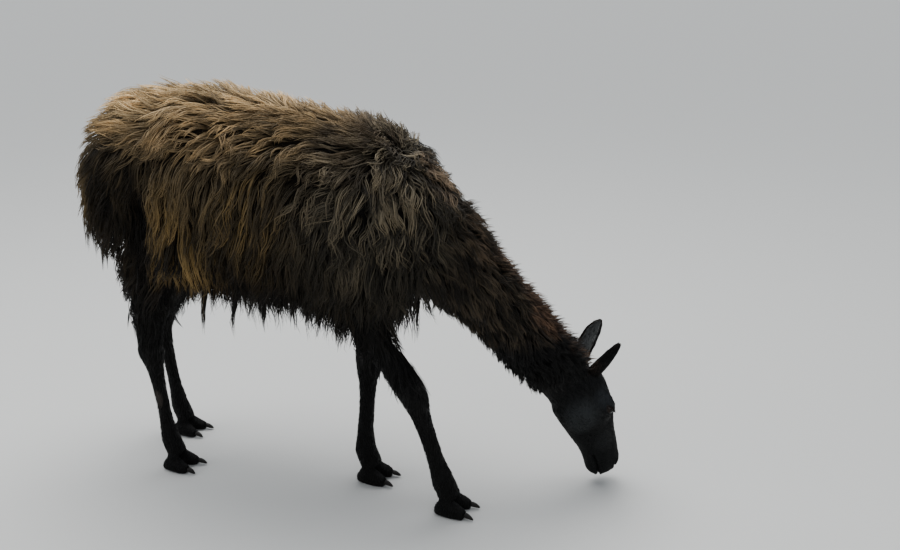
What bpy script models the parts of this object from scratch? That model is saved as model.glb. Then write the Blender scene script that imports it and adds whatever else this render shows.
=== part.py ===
"""A life-size llama, grazing: metres, +Z up, facing +X, soles at z = 0.

Every solid follows the animal's outline out to the tips of its coat.
The trunk, neck, head, legs, tail and ears are lofts of rounded rings,
parted from each other by gaps as thin as a hair.
"""
import math

import bmesh
import bpy
from mathutils import Matrix, Vector

# ---- driving dimensions ---------------------------------------------------
GAP = 0.0003                 # width of a plane cut between neighbouring solids
CLEARANCE = 0.0005           # room cut round a neighbour's curved surface
CROUP_HEIGHT = 1.150         # top of the fleece over the hips
WITHERS_HEIGHT = 1.096       # top of the fleece over the shoulders
RUMP_REACH = -0.655          # hindmost tip of the fleece
CHEST_REACH = 0.485          # front of the breast
SKIRT_HEIGHT = 0.555         # general lower edge of the fleece
FLEECE_HALF_WIDTH = 0.252    # half the width of the fleeced barrel
RUMP_HALF_WIDTH = 0.220      # half the width of the fleeced hips
FLANK_EDGE = -0.325          # rear edge of the fleece that overhangs the thigh

HEAD_LENGTH = 0.347          # poll to the tip of the lips
HEAD_POLL = Vector((0.785, 0.205, 0.372))
HEAD_TILT = math.radians(11)     # nose ahead of a plumb line
HEAD_TURN = math.radians(34)     # face turned to the llama's left
EYE_RADIUS = 0.0165
EAR_LENGTH = 0.135
EAR_WALL = 0.0045

TOE_LENGTH = 0.088
TOE_HALF_WIDTH = 0.0225
TOE_SPLAY = math.radians(7)
NAIL_LENGTH = 0.026

TRUNK_POINTS = 24            # points round each ring
NECK_POINTS = 22
HEAD_POINTS = 24
LEG_POINTS = 12
TAIL_POINTS = 12
TOE_POINTS = 10


# ---- modelling helpers ----------------------------------------------------
def blend_rows(rows, key):
    """Values of a short table at a key, on a smooth curve through its rows."""
    keys = [row[0] for row in rows]
    key = min(max(key, keys[0]), keys[-1])
    last = len(rows) - 2
    index = min(max(i for i, start in enumerate(keys) if start <= key), last)

    def slope(i, column):
        low, high = max(i - 1, 0), min(i + 1, len(rows) - 1)
        return (rows[high][column] - rows[low][column]) / (keys[high] - keys[low])

    span = keys[index + 1] - keys[index]
    t = (key - keys[index]) / span
    values = []
    for column in range(1, len(rows[0])):
        start, end = rows[index][column], rows[index + 1][column]
        pull, push = slope(index, column) * span, slope(index + 1, column) * span
        values.append((2 * t**3 - 3 * t**2 + 1) * start + (t**3 - 2 * t**2 + t) * pull
                      + (3 * t**2 - 2 * t**3) * end + (t**3 - t**2) * push)
    return values


def spread(start, end, count):
    """Evenly spaced numbers from start to end, both included."""
    return [start + (end - start) * i / (count - 1) for i in range(count)]


def signed_power(value, power):
    return math.copysign(abs(value) ** power, value)


def ring(centre, across, up, half_width, reach_up, reach_down, fullness, points,
         low_fullness=None, floor=None):
    """A rounded outline, elliptical at fullness 2 and boxier above it."""
    outline = []
    for i in range(points):
        angle = 2 * math.pi * i / points
        above = i * 2 <= points
        power = 2 / (fullness if above or low_fullness is None else low_fullness)
        sideways = half_width * signed_power(math.cos(angle), power)
        rise = signed_power(math.sin(angle), power) * (reach_up if above else reach_down)
        point = centre + across * sideways + up * rise
        if floor is not None:
            point.z = max(point.z, floor)
        outline.append(point)
    return outline


def new_object(name, mesh):
    thing = bpy.data.objects.new(name, mesh)
    bpy.context.scene.collection.objects.link(thing)
    return thing


def close_end(form, layer, inner, bulge):
    """Close a loft's end with a flat face, or with a point that bulges out."""
    if not bulge:
        form.faces.new(layer)
        return
    middle = sum((vert.co for vert in layer), Vector()) / len(layer)
    inside = sum((vert.co for vert in inner), Vector()) / len(inner)
    tip = form.verts.new(middle + (middle - inside).normalized() * bulge)
    for i in range(len(layer)):
        form.faces.new((layer[i], layer[(i + 1) % len(layer)], tip))


def loft(name, rings, start_bulge=0.0, end_bulge=0.0):
    """One closed solid of triangles through the rings."""
    form = bmesh.new()
    layers = [[form.verts.new(point) for point in outline] for outline in rings]
    for lower, upper in zip(layers, layers[1:]):
        for i in range(len(lower)):
            j = (i + 1) % len(lower)
            form.faces.new((lower[i], lower[j], upper[j], upper[i]))
    close_end(form, layers[0], layers[1], start_bulge)
    close_end(form, layers[-1], layers[-2], end_bulge)
    bmesh.ops.triangulate(form, faces=form.faces, ngon_method="EAR_CLIP")
    bmesh.ops.recalc_face_normals(form, faces=form.faces)
    mesh = bpy.data.meshes.new(name)
    form.to_mesh(mesh)
    form.free()
    return new_object(name, mesh)


def grown(thing):
    """The form of a solid, larger by the gap all round, for cutting clearance."""
    form = bmesh.new()
    form.from_mesh(thing.data)
    form.normal_update()
    for vert in form.verts:
        vert.co += vert.normal * CLEARANCE * vert.calc_shell_factor()
    mesh = bpy.data.meshes.new(thing.name + "_grown")
    form.to_mesh(mesh)
    form.free()
    return mesh


def carve(thing, tool, operation):
    """Apply an exact Boolean with a tool, and remove the tool."""
    cut = thing.modifiers.new(operation.title(), "BOOLEAN")
    cut.operation = operation
    cut.solver = "EXACT"
    cut.object = tool
    graph = bpy.context.evaluated_depsgraph_get()
    result = bpy.data.meshes.new_from_object(thing.evaluated_get(graph))
    thing.modifiers.remove(cut)
    thing.data = result
    bpy.data.objects.remove(tool)
    return thing


def clear_of(thing, *forms):
    """Cut each grown form out of a solid."""
    for form in forms:
        carve(thing, new_object("cutter", form), "DIFFERENCE")
    return thing


def trim(thing, point, outward):
    """Cut away what lies past a plane, and close the cut with a flat face."""
    form = bmesh.new()
    form.from_mesh(thing.data)
    parts = form.verts[:] + form.edges[:] + form.faces[:]
    cut = bmesh.ops.bisect_plane(form, geom=parts, dist=1e-6, plane_co=point,
                                 plane_no=outward, clear_outer=True)
    edges = [part for part in cut["geom_cut"] if isinstance(part, bmesh.types.BMEdge)]
    bmesh.ops.edgeloop_fill(form, edges=edges)
    bmesh.ops.recalc_face_normals(form, faces=form.faces)
    form.to_mesh(thing.data)
    form.free()
    return thing


def finish(thing, name, colour, roughness, metallic=0.0):
    """Name a solid, shade it smooth and give it its own plain material."""
    thing.name = name
    thing.data.name = name
    thing.data.shade_smooth()
    thing.data.set_sharp_from_angle(angle=math.radians(50))
    material = bpy.data.materials.new(name)
    material.use_nodes = True
    shader = material.node_tree.nodes["Principled BSDF"]
    shader.inputs["Base Color"].default_value = (*colour, 1)
    shader.inputs["Roughness"].default_value = roughness
    shader.inputs["Metallic"].default_value = metallic
    thing.data.materials.clear()
    thing.data.materials.append(material)
    return thing


for leftover in list(bpy.data.objects):
    bpy.data.objects.remove(leftover, do_unlink=True)

FORWARD = Vector((1, 0, 0))
LEFT = Vector((0, 1, 0))
UP = Vector((0, 0, 1))

BROWN_FLEECE = (0.060, 0.036, 0.020)
DARK_FLEECE = (0.025, 0.018, 0.014)
BLACK_HAIR = (0.008, 0.008, 0.009)
EYE_BLACK = (0.012, 0.008, 0.006)
HORN = (0.10, 0.09, 0.07)


# ---- trunk: the fleeced barrel and the hips behind it ----------------------
BARREL_FULLNESS = 2.35       # upper half of the barrel, where 2 is an ellipse
HIP_FULLNESS = 2.25
SKIRT_FULLNESS = 3.6         # the lower half hangs straighter than the back is round
TRUNK_MIDDLE = 0.52          # height of the widest line, as a share of the ring
BELLY_HOLLOW = 0.060
LOCK_LENGTH = 0.060
LOCK_LINE = 0.80             # where the locks hang, as a share of the half width
LOCK_SPREAD = 0.14           # how far a lock reaches to both sides of that line
LOCK_VARIETY = 0.6           # how much longer or shorter than usual a lock may be
LOCK_RHYTHM = 2.3            # radians that the variety moves on from ring to ring


def trunk_rings(rows, xs, fullness, first_lock, last_lock):
    """Upright rings along the trunk, hollow under the belly, hung with locks.

    Every second ring reaches lower at its sides, so that the edge of the
    fleece is a row of pointed locks.
    """
    rings = []
    for index, x in enumerate(xs):
        top, low, half_width = blend_rows(rows, x)
        middle = low + (top - low) * TRUNK_MIDDLE
        outline = ring(Vector((x, 0, middle)), LEFT, UP, half_width, top - middle,
                       middle - low, fullness, TRUNK_POINTS, SKIRT_FULLNESS)
        hung = index % 2 and first_lock < x < last_lock
        variety = 1 + LOCK_VARIETY * math.sin(LOCK_RHYTHM * index)
        lock = LOCK_LENGTH * variety if hung else 0
        for point in outline:
            if point.z < middle:
                share = min(abs(point.y) / half_width, 1.0)
                depth = (middle - point.z) / (middle - low)
                point.z += BELLY_HOLLOW * (1 - share ** 2) * depth
                point.z -= lock * depth * math.exp(-((share - LOCK_LINE) / LOCK_SPREAD) ** 2)
        rings.append(outline)
    return rings


BARREL_ROWS = [
    # x, top, lower edge, half width
    (FLANK_EDGE, CROUP_HEIGHT - 0.060, SKIRT_HEIGHT + 0.075, FLEECE_HALF_WIDTH * 0.85),
    (FLANK_EDGE + 0.03, CROUP_HEIGHT - 0.012, SKIRT_HEIGHT + 0.015, FLEECE_HALF_WIDTH * 0.96),
    (-0.22, CROUP_HEIGHT - 0.006, SKIRT_HEIGHT - 0.005, FLEECE_HALF_WIDTH),
    (-0.02, CROUP_HEIGHT - 0.044, SKIRT_HEIGHT, FLEECE_HALF_WIDTH * 1.015),
    (0.20, WITHERS_HEIGHT - 0.020, SKIRT_HEIGHT - 0.020, FLEECE_HALF_WIDTH * 0.96),
    (0.31, WITHERS_HEIGHT - 0.050, SKIRT_HEIGHT - 0.020, FLEECE_HALF_WIDTH * 0.84),
    (0.40, WITHERS_HEIGHT - 0.138, SKIRT_HEIGHT + 0.005, FLEECE_HALF_WIDTH * 0.64),
    (0.455, WITHERS_HEIGHT - 0.265, SKIRT_HEIGHT + 0.060, FLEECE_HALF_WIDTH * 0.44),
    (CHEST_REACH, WITHERS_HEIGHT - 0.370, SKIRT_HEIGHT + 0.115, FLEECE_HALF_WIDTH * 0.20),
]
BARREL_LOCKS_END = 0.36      # no locks hang in front of this
barrel_xs = spread(FLANK_EDGE, -0.275, 3) + spread(-0.24, BARREL_LOCKS_END, 15) + spread(0.40, CHEST_REACH, 4)
barrel_rings = trunk_rings(BARREL_ROWS, barrel_xs, BARREL_FULLNESS, FLANK_EDGE, BARREL_LOCKS_END)
barrel = loft("barrel", barrel_rings, start_bulge=0.012, end_bulge=0.010)

HIP_ROWS = [
    # x, top, lower edge, half width
    (RUMP_REACH, 0.905, 0.800, RUMP_HALF_WIDTH * 0.22),
    (RUMP_REACH + 0.020, 0.970, 0.715, RUMP_HALF_WIDTH * 0.44),
    (RUMP_REACH + 0.065, 1.035, 0.650, RUMP_HALF_WIDTH * 0.69),
    (RUMP_REACH + 0.135, 1.092, 0.600, RUMP_HALF_WIDTH * 0.90),
    (-0.430, CROUP_HEIGHT - 0.016, 0.565, RUMP_HALF_WIDTH),
    (-0.240, CROUP_HEIGHT - 0.012, 0.575, RUMP_HALF_WIDTH * 0.98),
]
hip_xs = [RUMP_REACH, RUMP_REACH + 0.012, RUMP_REACH + 0.034] + spread(RUMP_REACH + 0.07, -0.27, 9)
hip_rings = trunk_rings(HIP_ROWS, hip_xs, HIP_FULLNESS, RUMP_REACH + 0.05, FLANK_EDGE - 0.03)
hips = loft("hips", hip_rings, start_bulge=0.006)

barrel_clearance = grown(barrel)


# ---- leg forms: tables of thickness for fore and hind legs, and each leg's joints ----
LEG_FULLNESS = 2.1
PAD_HEIGHT = 0.012           # the lowest that the leg's own form reaches in the foot
LEG_GAP = 0.0012             # the gap between leg pieces, in stations

FORE_THICKNESS = [
    # station, reach ahead, reach behind, half width
    (0.00, 0.078, 0.080, 0.060),
    (0.45, 0.056, 0.060, 0.049),
    (0.80, 0.037, 0.040, 0.036),
    (1.00, 0.036, 0.037, 0.036),
    (1.18, 0.025, 0.027, 0.026),
    (1.50, 0.021, 0.022, 0.021),
    (1.85, 0.023, 0.025, 0.023),
    (2.00, 0.029, 0.031, 0.029),
    (3.00, 0.028, 0.030, 0.033),
]
HIND_THICKNESS = [
    # station, reach ahead, reach behind, half width
    (0.00, 0.095, 0.120, 0.075),
    (0.35, 0.082, 0.086, 0.062),
    (0.70, 0.048, 0.052, 0.044),
    (0.90, 0.039, 0.048, 0.036),
    (1.00, 0.036, 0.050, 0.035),
    (1.16, 0.027, 0.030, 0.027),
    (1.50, 0.021, 0.023, 0.021),
    (1.85, 0.023, 0.025, 0.023),
    (2.00, 0.029, 0.031, 0.029),
    (3.00, 0.028, 0.030, 0.033),
]
LEGS = {
    # shoulder or thigh, knee or hock, fetlock, middle of the foot
    "fore_right": (FORE_THICKNESS, (0.195, -0.125, 0.660), (0.376, -0.095, 0.345),
                   (0.440, -0.065, 0.098), (0.464, -0.060, 0.040)),
    "fore_left": (FORE_THICKNESS, (0.165, 0.125, 0.660), (0.170, 0.078, 0.335),
                  (0.168, 0.036, 0.098), (0.195, 0.030, 0.040)),
    "hind_right": (HIND_THICKNESS, (-0.405, -0.125, 0.640), (-0.426, -0.104, 0.375),
                   (-0.405, -0.090, 0.098), (-0.383, -0.088, 0.040)),
    "hind_left": (HIND_THICKNESS, (-0.440, 0.125, 0.640), (-0.540, 0.106, 0.372),
                  (-0.507, 0.112, 0.098), (-0.485, 0.114, 0.040)),
}


def leg_centre(joints, station):
    index = min(int(station), len(joints) - 2)
    return joints[index].lerp(joints[index + 1], station - index)


def leg_part(thickness, joints, start, end, count):
    """The leg between two stations: 0 body, 1 knee or hock, 2 fetlock, 3 foot."""
    rings = []
    for station in spread(start, end, count):
        ahead, behind, half_width = blend_rows(thickness, station)
        run = leg_centre(joints, min(station + 0.15, 3)) - leg_centre(joints, max(station - 0.15, 0))
        run.normalize()
        front = LEFT.cross(run).normalized()
        if front.x < 0:
            front.negate()
        side = run.cross(front)
        rings.append(ring(leg_centre(joints, station), side, front, half_width, ahead, behind,
                          LEG_FULLNESS, LEG_POINTS, floor=PAD_HEIGHT))
    return loft("leg", rings)


# ---- neck: from the breast down to the poll --------------------------------
NECK_GAP = 0.0006            # the gap as a share of the neck's length
NECK_ROWS = [
    # along, x, y, z, half thickness, half width
    (0.00, 0.290, 0.000, 0.815, 0.185, 0.185),
    (0.22, 0.405, 0.012, 0.733, 0.146, 0.142),
    (0.42, 0.510, 0.042, 0.618, 0.111, 0.108),
    (0.60, 0.584, 0.078, 0.526, 0.103, 0.096),
    (0.80, 0.650, 0.122, 0.431, 0.104, 0.089),
    (1.00, 0.716, 0.165, 0.338, 0.088, 0.076),
    (1.12, 0.752, 0.188, 0.288, 0.080, 0.068),
]


def neck_place(along):
    """Centre, direction, crestward direction and sizes of the neck."""
    x, y, z, half_thickness, half_width = blend_rows(NECK_ROWS, along)
    ahead = Vector(blend_rows(NECK_ROWS, along + 0.02)[:3])
    behind = Vector(blend_rows(NECK_ROWS, along - 0.02)[:3])
    run = (ahead - behind).normalized()
    side = UP.cross(run).normalized()
    crest = run.cross(side)
    return Vector((x, y, z)), run, side, crest, half_thickness, half_width


def neck_part(start, end, count):
    rings = []
    for along in spread(start, end, count):
        centre, run, side, crest, half_thickness, half_width = neck_place(along)
        rings.append(ring(centre, side, crest, half_width, half_thickness, half_thickness,
                          2.0, NECK_POINTS))
    return loft("neck", rings)


NECK_START = 0.36
NECK_SPLIT = 0.66
NECK_END = 0.97
finish(neck_part(NECK_START, NECK_SPLIT - NECK_GAP, 6), "neck_lower", DARK_FLEECE, 0.85)
finish(neck_part(NECK_SPLIT, NECK_END, 6), "neck_upper", DARK_FLEECE, 0.85)


# ---- tail: a woolly fall of hair against the rump ---------------------------
TAIL_ROWS = [
    # along, x, z, half width, half depth
    (0.0, RUMP_REACH + 0.110, 1.010, 0.040, 0.035),
    (0.2, RUMP_REACH + 0.045, 0.965, 0.050, 0.040),
    (0.5, RUMP_REACH + 0.012, 0.870, 0.058, 0.042),
    (0.8, RUMP_REACH + 0.014, 0.750, 0.048, 0.036),
    (1.0, RUMP_REACH + 0.024, 0.655, 0.016, 0.012),
]
TAIL_FULLNESS = 2.1
tail_rings = []
for along in spread(0, 1, 9):
    x, z, half_width, half_depth = blend_rows(TAIL_ROWS, along)
    ahead = blend_rows(TAIL_ROWS, along + 0.02)
    behind = blend_rows(TAIL_ROWS, along - 0.02)
    run = Vector((ahead[0] - behind[0], 0, ahead[1] - behind[1])).normalized()
    back = LEFT.cross(run)
    tail_rings.append(ring(Vector((x, 0, z)), LEFT, back, half_width, half_depth, half_depth,
                           TAIL_FULLNESS, TAIL_POINTS))
tail = loft("tail", tail_rings, start_bulge=0.008, end_bulge=0.012)
clear_of(hips, grown(tail))
finish(tail, "tail", BROWN_FLEECE, 0.85)


# ---- the trunk is joined to the roots of the neck and legs, then parted ---------
LEG_TOP = 0.500              # the legs part from the trunk just under the fleece

for label, (thickness, *places) in LEGS.items():
    joints = [Vector(place) for place in places]
    root = trim(leg_part(thickness, joints, 0.0, 0.75, 6), Vector((0, 0, LEG_TOP + GAP)), -UP)
    carve(barrel if label.startswith("fore") else hips, root, "UNION")
carve(barrel, neck_part(0.0, NECK_START + 0.06, 6), "UNION")
cut_centre, cut_run = neck_place(NECK_START)[:2]
trim(barrel, cut_centre - cut_run * GAP, cut_run)
clear_of(hips, barrel_clearance)
finish(barrel, "trunk_barrel", BROWN_FLEECE, 0.85)
finish(hips, "trunk_hips", BROWN_FLEECE, 0.85)


# ---- head -------------------------------------------------------------------
face_turn = Vector((math.cos(HEAD_TURN), math.sin(HEAD_TURN), 0))
NOSEWARD = face_turn * math.sin(HEAD_TILT) - UP * math.cos(HEAD_TILT)
FACEWARD = face_turn * math.cos(HEAD_TILT) + UP * math.sin(HEAD_TILT)
HEAD_LEFT = Vector((-math.sin(HEAD_TURN), math.cos(HEAD_TURN), 0))


def head_point(down, face, left):
    """A place in the head: down the nose, out of the face, to its left."""
    return HEAD_POLL + NOSEWARD * down + FACEWARD * face + HEAD_LEFT * left


HEAD_ROWS = [
    # down, face line, jaw line, half width
    (-0.018, -0.018, -0.080, 0.030),
    (0.000, 0.006, -0.115, 0.047),
    (0.035, 0.028, -0.140, 0.058),
    (0.075, 0.037, -0.142, 0.064),
    (0.115, 0.041, -0.131, 0.066),
    (0.155, 0.042, -0.116, 0.059),
    (0.200, 0.040, -0.097, 0.047),
    (0.250, 0.042, -0.075, 0.040),
    (0.290, 0.041, -0.066, 0.040),
    (0.318, 0.034, -0.062, 0.037),
    (0.336, 0.016, -0.052, 0.029),
    (HEAD_LENGTH, -0.004, -0.036, 0.014),
]
HEAD_FULLNESS = 2.15
HEAD_MIDDLE = 0.62           # height of the widest line above the jaw, as a share
head_rings = []
for down in spread(-0.018, 0.29, 13) + spread(0.312, HEAD_LENGTH, 4):
    face, jaw, half_width = blend_rows(HEAD_ROWS, down)
    middle = jaw + (face - jaw) * HEAD_MIDDLE
    head_rings.append(ring(head_point(down, middle, 0), HEAD_LEFT, FACEWARD, half_width,
                           face - middle, middle - jaw, HEAD_FULLNESS, HEAD_POINTS))
head = loft("head", head_rings, start_bulge=0.004, end_bulge=0.003)
skull_clearance = grown(head)

EYE_DOWN, EYE_FACE, EYE_LEFT = 0.117, 0.008, 0.0525      # the brow over it, in the head
BALL_OUT = 0.004             # the ball sits further out of the face than the brow
BROW_RADIUS = 0.026
BROW_SUNK = 0.010
BROW_STRETCH = 1.25          # the brow is this much longer down the nose than a ball
BROW_END = math.radians(75)  # the turn of its last rings from the middle
for side in (1, -1):
    brow_rings = []
    brow_centre = head_point(EYE_DOWN, EYE_FACE, side * (EYE_LEFT - BROW_SUNK))
    for turn in spread(-BROW_END, BROW_END, 6):
        radius = BROW_RADIUS * math.cos(turn)
        centre = brow_centre + NOSEWARD * BROW_RADIUS * BROW_STRETCH * math.sin(turn)
        brow_rings.append(ring(centre, HEAD_LEFT, FACEWARD, radius, radius, radius, 2, 10))
    carve(head, loft("brow", brow_rings, start_bulge=0.0005, end_bulge=0.0005), "UNION")

NAPE_START = 0.84            # the head holds the neck's last piece, out past the poll
NAPE_END = 1.12
nape = neck_part(NAPE_START, NAPE_END, 6)
nape_clearance = grown(nape)
carve(head, nape, "UNION")
cut_centre, cut_run = neck_place(NECK_END)[:2]
trim(head, cut_centre + cut_run * GAP, -cut_run)


# ---- eyes: balls set in sockets under the brows ------------------------------
BALL_END = math.radians(72)  # the turn of the ball's last rings from its middle


def ball(name, centre, radius):
    rings = []
    for turn in spread(-BALL_END, BALL_END, 6):
        size = radius * math.cos(turn)
        rings.append(ring(centre + NOSEWARD * radius * math.sin(turn), HEAD_LEFT, FACEWARD,
                          size, size, size, 2, 12))
    pole = radius * (1 - math.sin(BALL_END))
    return loft(name, rings, pole, pole)


for side, label in ((1, "left"), (-1, "right")):
    eye = ball("eye", head_point(EYE_DOWN, EYE_FACE + BALL_OUT, side * EYE_LEFT), EYE_RADIUS)
    clear_of(head, grown(eye))
    finish(eye, "eye_" + label, EYE_BLACK, 0.12)


# ---- ears: long curved leaves, hollow on their inner side --------------------
EAR_ROWS = [
    # along, half width, wrap of the wall in degrees
    (0.00, 0.014, 125),
    (0.20, 0.0195, 105),
    (0.45, 0.0235, 78),
    (0.73, 0.0190, 62),
    (0.91, 0.0100, 52),
    (1.00, 0.0025, 45),
]
EAR_SUNK = 0.12              # share of the ear that starts inside the head
EAR_ACROSS = 6               # points across the wall, rim to rim
EAR_CURL = 0.010             # how far the tip leans over the hollow
RIM_THINNING = 0.55          # the wall is thinner by this share at tip and rims


def ear(base, reach, opening, curl, bow):
    """A leaf from base along reach, hollow towards opening, bent like a banana."""
    run = reach.normalized()
    opening = (opening - run * opening.dot(run)).normalized()
    across = run.cross(opening)
    rings = []
    for along in spread(0, 1, 10):
        half_width, wrap = blend_rows(EAR_ROWS, along)
        radius = half_width / min(math.sin(math.radians(min(wrap, 90))), 1.0)
        lean = curl * (along ** 2)
        sideways = bow * 4 * along * (1 - along)
        centre = base + run * EAR_LENGTH * (along - EAR_SUNK) + opening * lean + across * sideways
        wall = EAR_WALL * (1 - RIM_THINNING * along)
        angles = spread(math.radians(-wrap), math.radians(wrap), EAR_ACROSS)
        hub = centre + opening * radius
        outer = [hub - opening * radius * math.cos(a) + across * radius * math.sin(a)
                 for a in angles]
        thin = [min(wall, radius * 0.5) * (1 - RIM_THINNING * abs(a) / max(angles)) for a in angles]
        inner = [hub - opening * (radius - t) * math.cos(a) + across * (radius - t) * math.sin(a)
                 for a, t in zip(angles, thin)]
        rings.append(outer + inner[::-1])
    return loft("ear", rings)


EARS = {
    # side, seat down the nose, out of the face and to the side, reach, bow
    "left": (1, (-0.011, -0.008, 0.042), (-0.66, 0.67, 0.24), -0.008),
    "right": (-1, (0.019, -0.001, 0.036), (-0.69, 0.58, 0.29), -0.006),
}
for label, (side, (down, face, left), (nose_share, face_share, side_share), bow) in EARS.items():
    base = head_point(down, face, side * left)
    reach = NOSEWARD * nose_share + FACEWARD * face_share + HEAD_LEFT * side * side_share
    opening = HEAD_LEFT * side * -0.85 - FACEWARD * 0.20 - NOSEWARD * 0.35
    leaf = ear(base, reach, opening, EAR_CURL, bow)
    clear_of(leaf, skull_clearance, nape_clearance)
    finish(leaf, "ear_" + label, BLACK_HAIR, 0.7)
finish(head, "head", BLACK_HAIR, 0.6)


# ---- legs, feet and toenails ----------------------------------------------------
TOE_ROWS = [
    # along from the heel, height, half width
    (0.00, 0.026, 0.55),
    (0.15, 0.043, 0.92),
    (0.45, 0.048, 1.00),
    (0.75, 0.036, 0.92),
    (1.00, 0.024, 0.66),
]


def toe(heel, run, count=6):
    """A padded toe, flat underneath, ending in a flat seat for its nail."""
    rings = []
    side = UP.cross(run)
    for along in spread(0, 1, count):
        height, width = blend_rows(TOE_ROWS, along)
        centre = heel + run * TOE_LENGTH * along + UP * height * 0.42
        rings.append(ring(centre, side, UP, TOE_HALF_WIDTH * width, height * 0.58, height * 0.62,
                          2.2, TOE_POINTS, floor=0.0))
    return loft("toe", rings)


NAIL_ROWS = [
    # along, half width, top, underside
    (0.0, 0.0088, 0.0225, 0.0060),
    (0.6, 0.0068, 0.0168, 0.0040),
    (1.0, 0.0018, 0.0075, 0.0025),
]


def nail(seat, run):
    """A curved claw that tapers and bends down past the toe."""
    side = UP.cross(run)
    rings = []
    for along, half_width, top, low in NAIL_ROWS:
        centre = seat + run * (GAP + NAIL_LENGTH * along)
        centre.z = (top + low) / 2
        reach = (top - low) / 2
        rings.append(ring(centre, side, UP, half_width, reach, reach, 2.3, 8))
    return loft("nail", rings)


KNEE_CUT = 1.28              # the upper and lower leg part below the knee
FOOT_CUT = 1.80              # the lower leg and the foot part above the fetlock
for label, (thickness, *places) in LEGS.items():
    joints = [Vector(place) for place in places]
    upper = trim(leg_part(thickness, joints, 0.15, KNEE_CUT - LEG_GAP, 11), Vector((0, 0, LEG_TOP)), UP)
    finish(upper, "leg_" + label + "_upper", BLACK_HAIR, 0.7)
    lower = leg_part(thickness, joints, KNEE_CUT, FOOT_CUT - LEG_GAP, 5)
    finish(lower, "leg_" + label + "_lower", BLACK_HAIR, 0.7)
    foot = leg_part(thickness, joints, FOOT_CUT, 2.95, 5)
    for number, lean in ((1, 1), (2, -1)):
        run = Vector((math.cos(TOE_SPLAY), lean * math.sin(TOE_SPLAY), 0))
        heel = Vector((joints[3].x - 0.040, joints[3].y + lean * TOE_HALF_WIDTH * 0.82, 0))
        carve(foot, toe(heel, run), "UNION")
        claw = nail(heel + run * TOE_LENGTH, run)
        finish(claw, "nail_" + label + "_" + str(number), HORN, 0.45)
    finish(foot, "foot_" + label, BLACK_HAIR, 0.7)


# ---- the origin goes under the middle of the whole --------------------------------
corners = [vert.co for thing in bpy.data.objects for vert in thing.data.vertices]
middle_x = (min(co.x for co in corners) + max(co.x for co in corners)) / 2
middle_y = (min(co.y for co in corners) + max(co.y for co in corners)) / 2
for thing in bpy.data.objects:
    thing.data.transform(Matrix.Translation((-middle_x, -middle_y, 0)))
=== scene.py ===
"""A grazing llama: hide, shaggy coat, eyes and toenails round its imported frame."""
import math

import bmesh
import bpy
import numpy as np
from mathutils import Matrix, Vector
from mathutils.bvhtree import BVHTree


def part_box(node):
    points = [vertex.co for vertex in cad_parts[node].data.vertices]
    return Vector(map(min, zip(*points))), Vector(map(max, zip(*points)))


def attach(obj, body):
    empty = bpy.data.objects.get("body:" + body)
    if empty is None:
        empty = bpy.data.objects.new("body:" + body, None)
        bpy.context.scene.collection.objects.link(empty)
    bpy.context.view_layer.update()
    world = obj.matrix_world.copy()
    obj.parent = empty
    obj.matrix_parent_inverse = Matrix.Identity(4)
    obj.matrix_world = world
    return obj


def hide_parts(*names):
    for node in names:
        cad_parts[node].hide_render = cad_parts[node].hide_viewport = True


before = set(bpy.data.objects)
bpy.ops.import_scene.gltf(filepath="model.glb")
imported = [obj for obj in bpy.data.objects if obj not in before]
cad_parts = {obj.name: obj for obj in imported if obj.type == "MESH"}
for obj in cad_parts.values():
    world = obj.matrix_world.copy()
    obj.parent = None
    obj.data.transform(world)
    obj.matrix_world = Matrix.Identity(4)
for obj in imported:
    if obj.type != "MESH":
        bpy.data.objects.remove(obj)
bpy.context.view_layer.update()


# ---- ground, light and camera -------------------------------------------------
# A plain pale studio floor under soft light from overhead, as on a bright day,
# with the camera at a standing person's eye height on the animal's right.
def placed(name, data):
    """A new object that holds the data, in the scene."""
    thing = bpy.data.objects.new(name, data)
    bpy.context.scene.collection.objects.link(thing)
    return thing


def surface(name, roughness, specular=0.5):
    """A new material, its node tree and its shader."""
    material = bpy.data.materials.new(name)
    material.use_nodes = True
    shader = material.node_tree.nodes["Principled BSDF"]
    shader.inputs["Roughness"].default_value = roughness
    shader.inputs["Specular IOR Level"].default_value = specular
    return material, material.node_tree, shader


floor_mesh = bpy.data.meshes.new("floor")
floor_mesh.from_pydata([(-90, -90, 0), (90, -90, 0), (90, 90, 0), (-90, 90, 0)], [], [(0, 1, 2, 3)])
floor_paint, _, floor_shader = surface("floor_paint", 0.9)
floor_shader.inputs["Base Color"].default_value = (0.60, 0.60, 0.58, 1)
floor_mesh.materials.append(floor_paint)
placed("floor", floor_mesh)


def softbox(name, place, aim, width, height, power):
    """A rectangular lamp at a place, turned towards what it lights."""
    lamp = bpy.data.lights.new(name, "AREA")
    lamp.shape = "RECTANGLE"
    lamp.size = width
    lamp.size_y = height
    lamp.energy = power
    holder = placed(name, lamp)
    holder.location = place
    holder.rotation_euler = (Vector(aim) - Vector(place)).to_track_quat("-Z", "Y").to_euler()


softbox("overhead", (-0.5, 0.7, 3.9), (0, 0, 0.9), 2.6, 2.0, 90)
softbox("fill", (2.6, -3.6, 2.2), (0.1, 0, 0.6), 2.6, 2.0, 26)
softbox("behind", (-3.4, -1.4, 2.4), (-0.2, 0, 0.7), 2.0, 2.0, 26)
daylight = bpy.data.lights.new("daylight", "SUN")
daylight.energy = 1.9
daylight.angle = math.radians(70)
placed("daylight", daylight).rotation_euler = (math.radians(-16), math.radians(-8), 0)
sky = bpy.data.worlds.new("sky")
sky.use_nodes = True
glow = sky.node_tree.nodes["Background"]
glow.inputs["Color"].default_value = (0.86, 0.92, 1.0, 1)
glow.inputs["Strength"].default_value = 0.55
bpy.context.scene.world = sky

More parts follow.
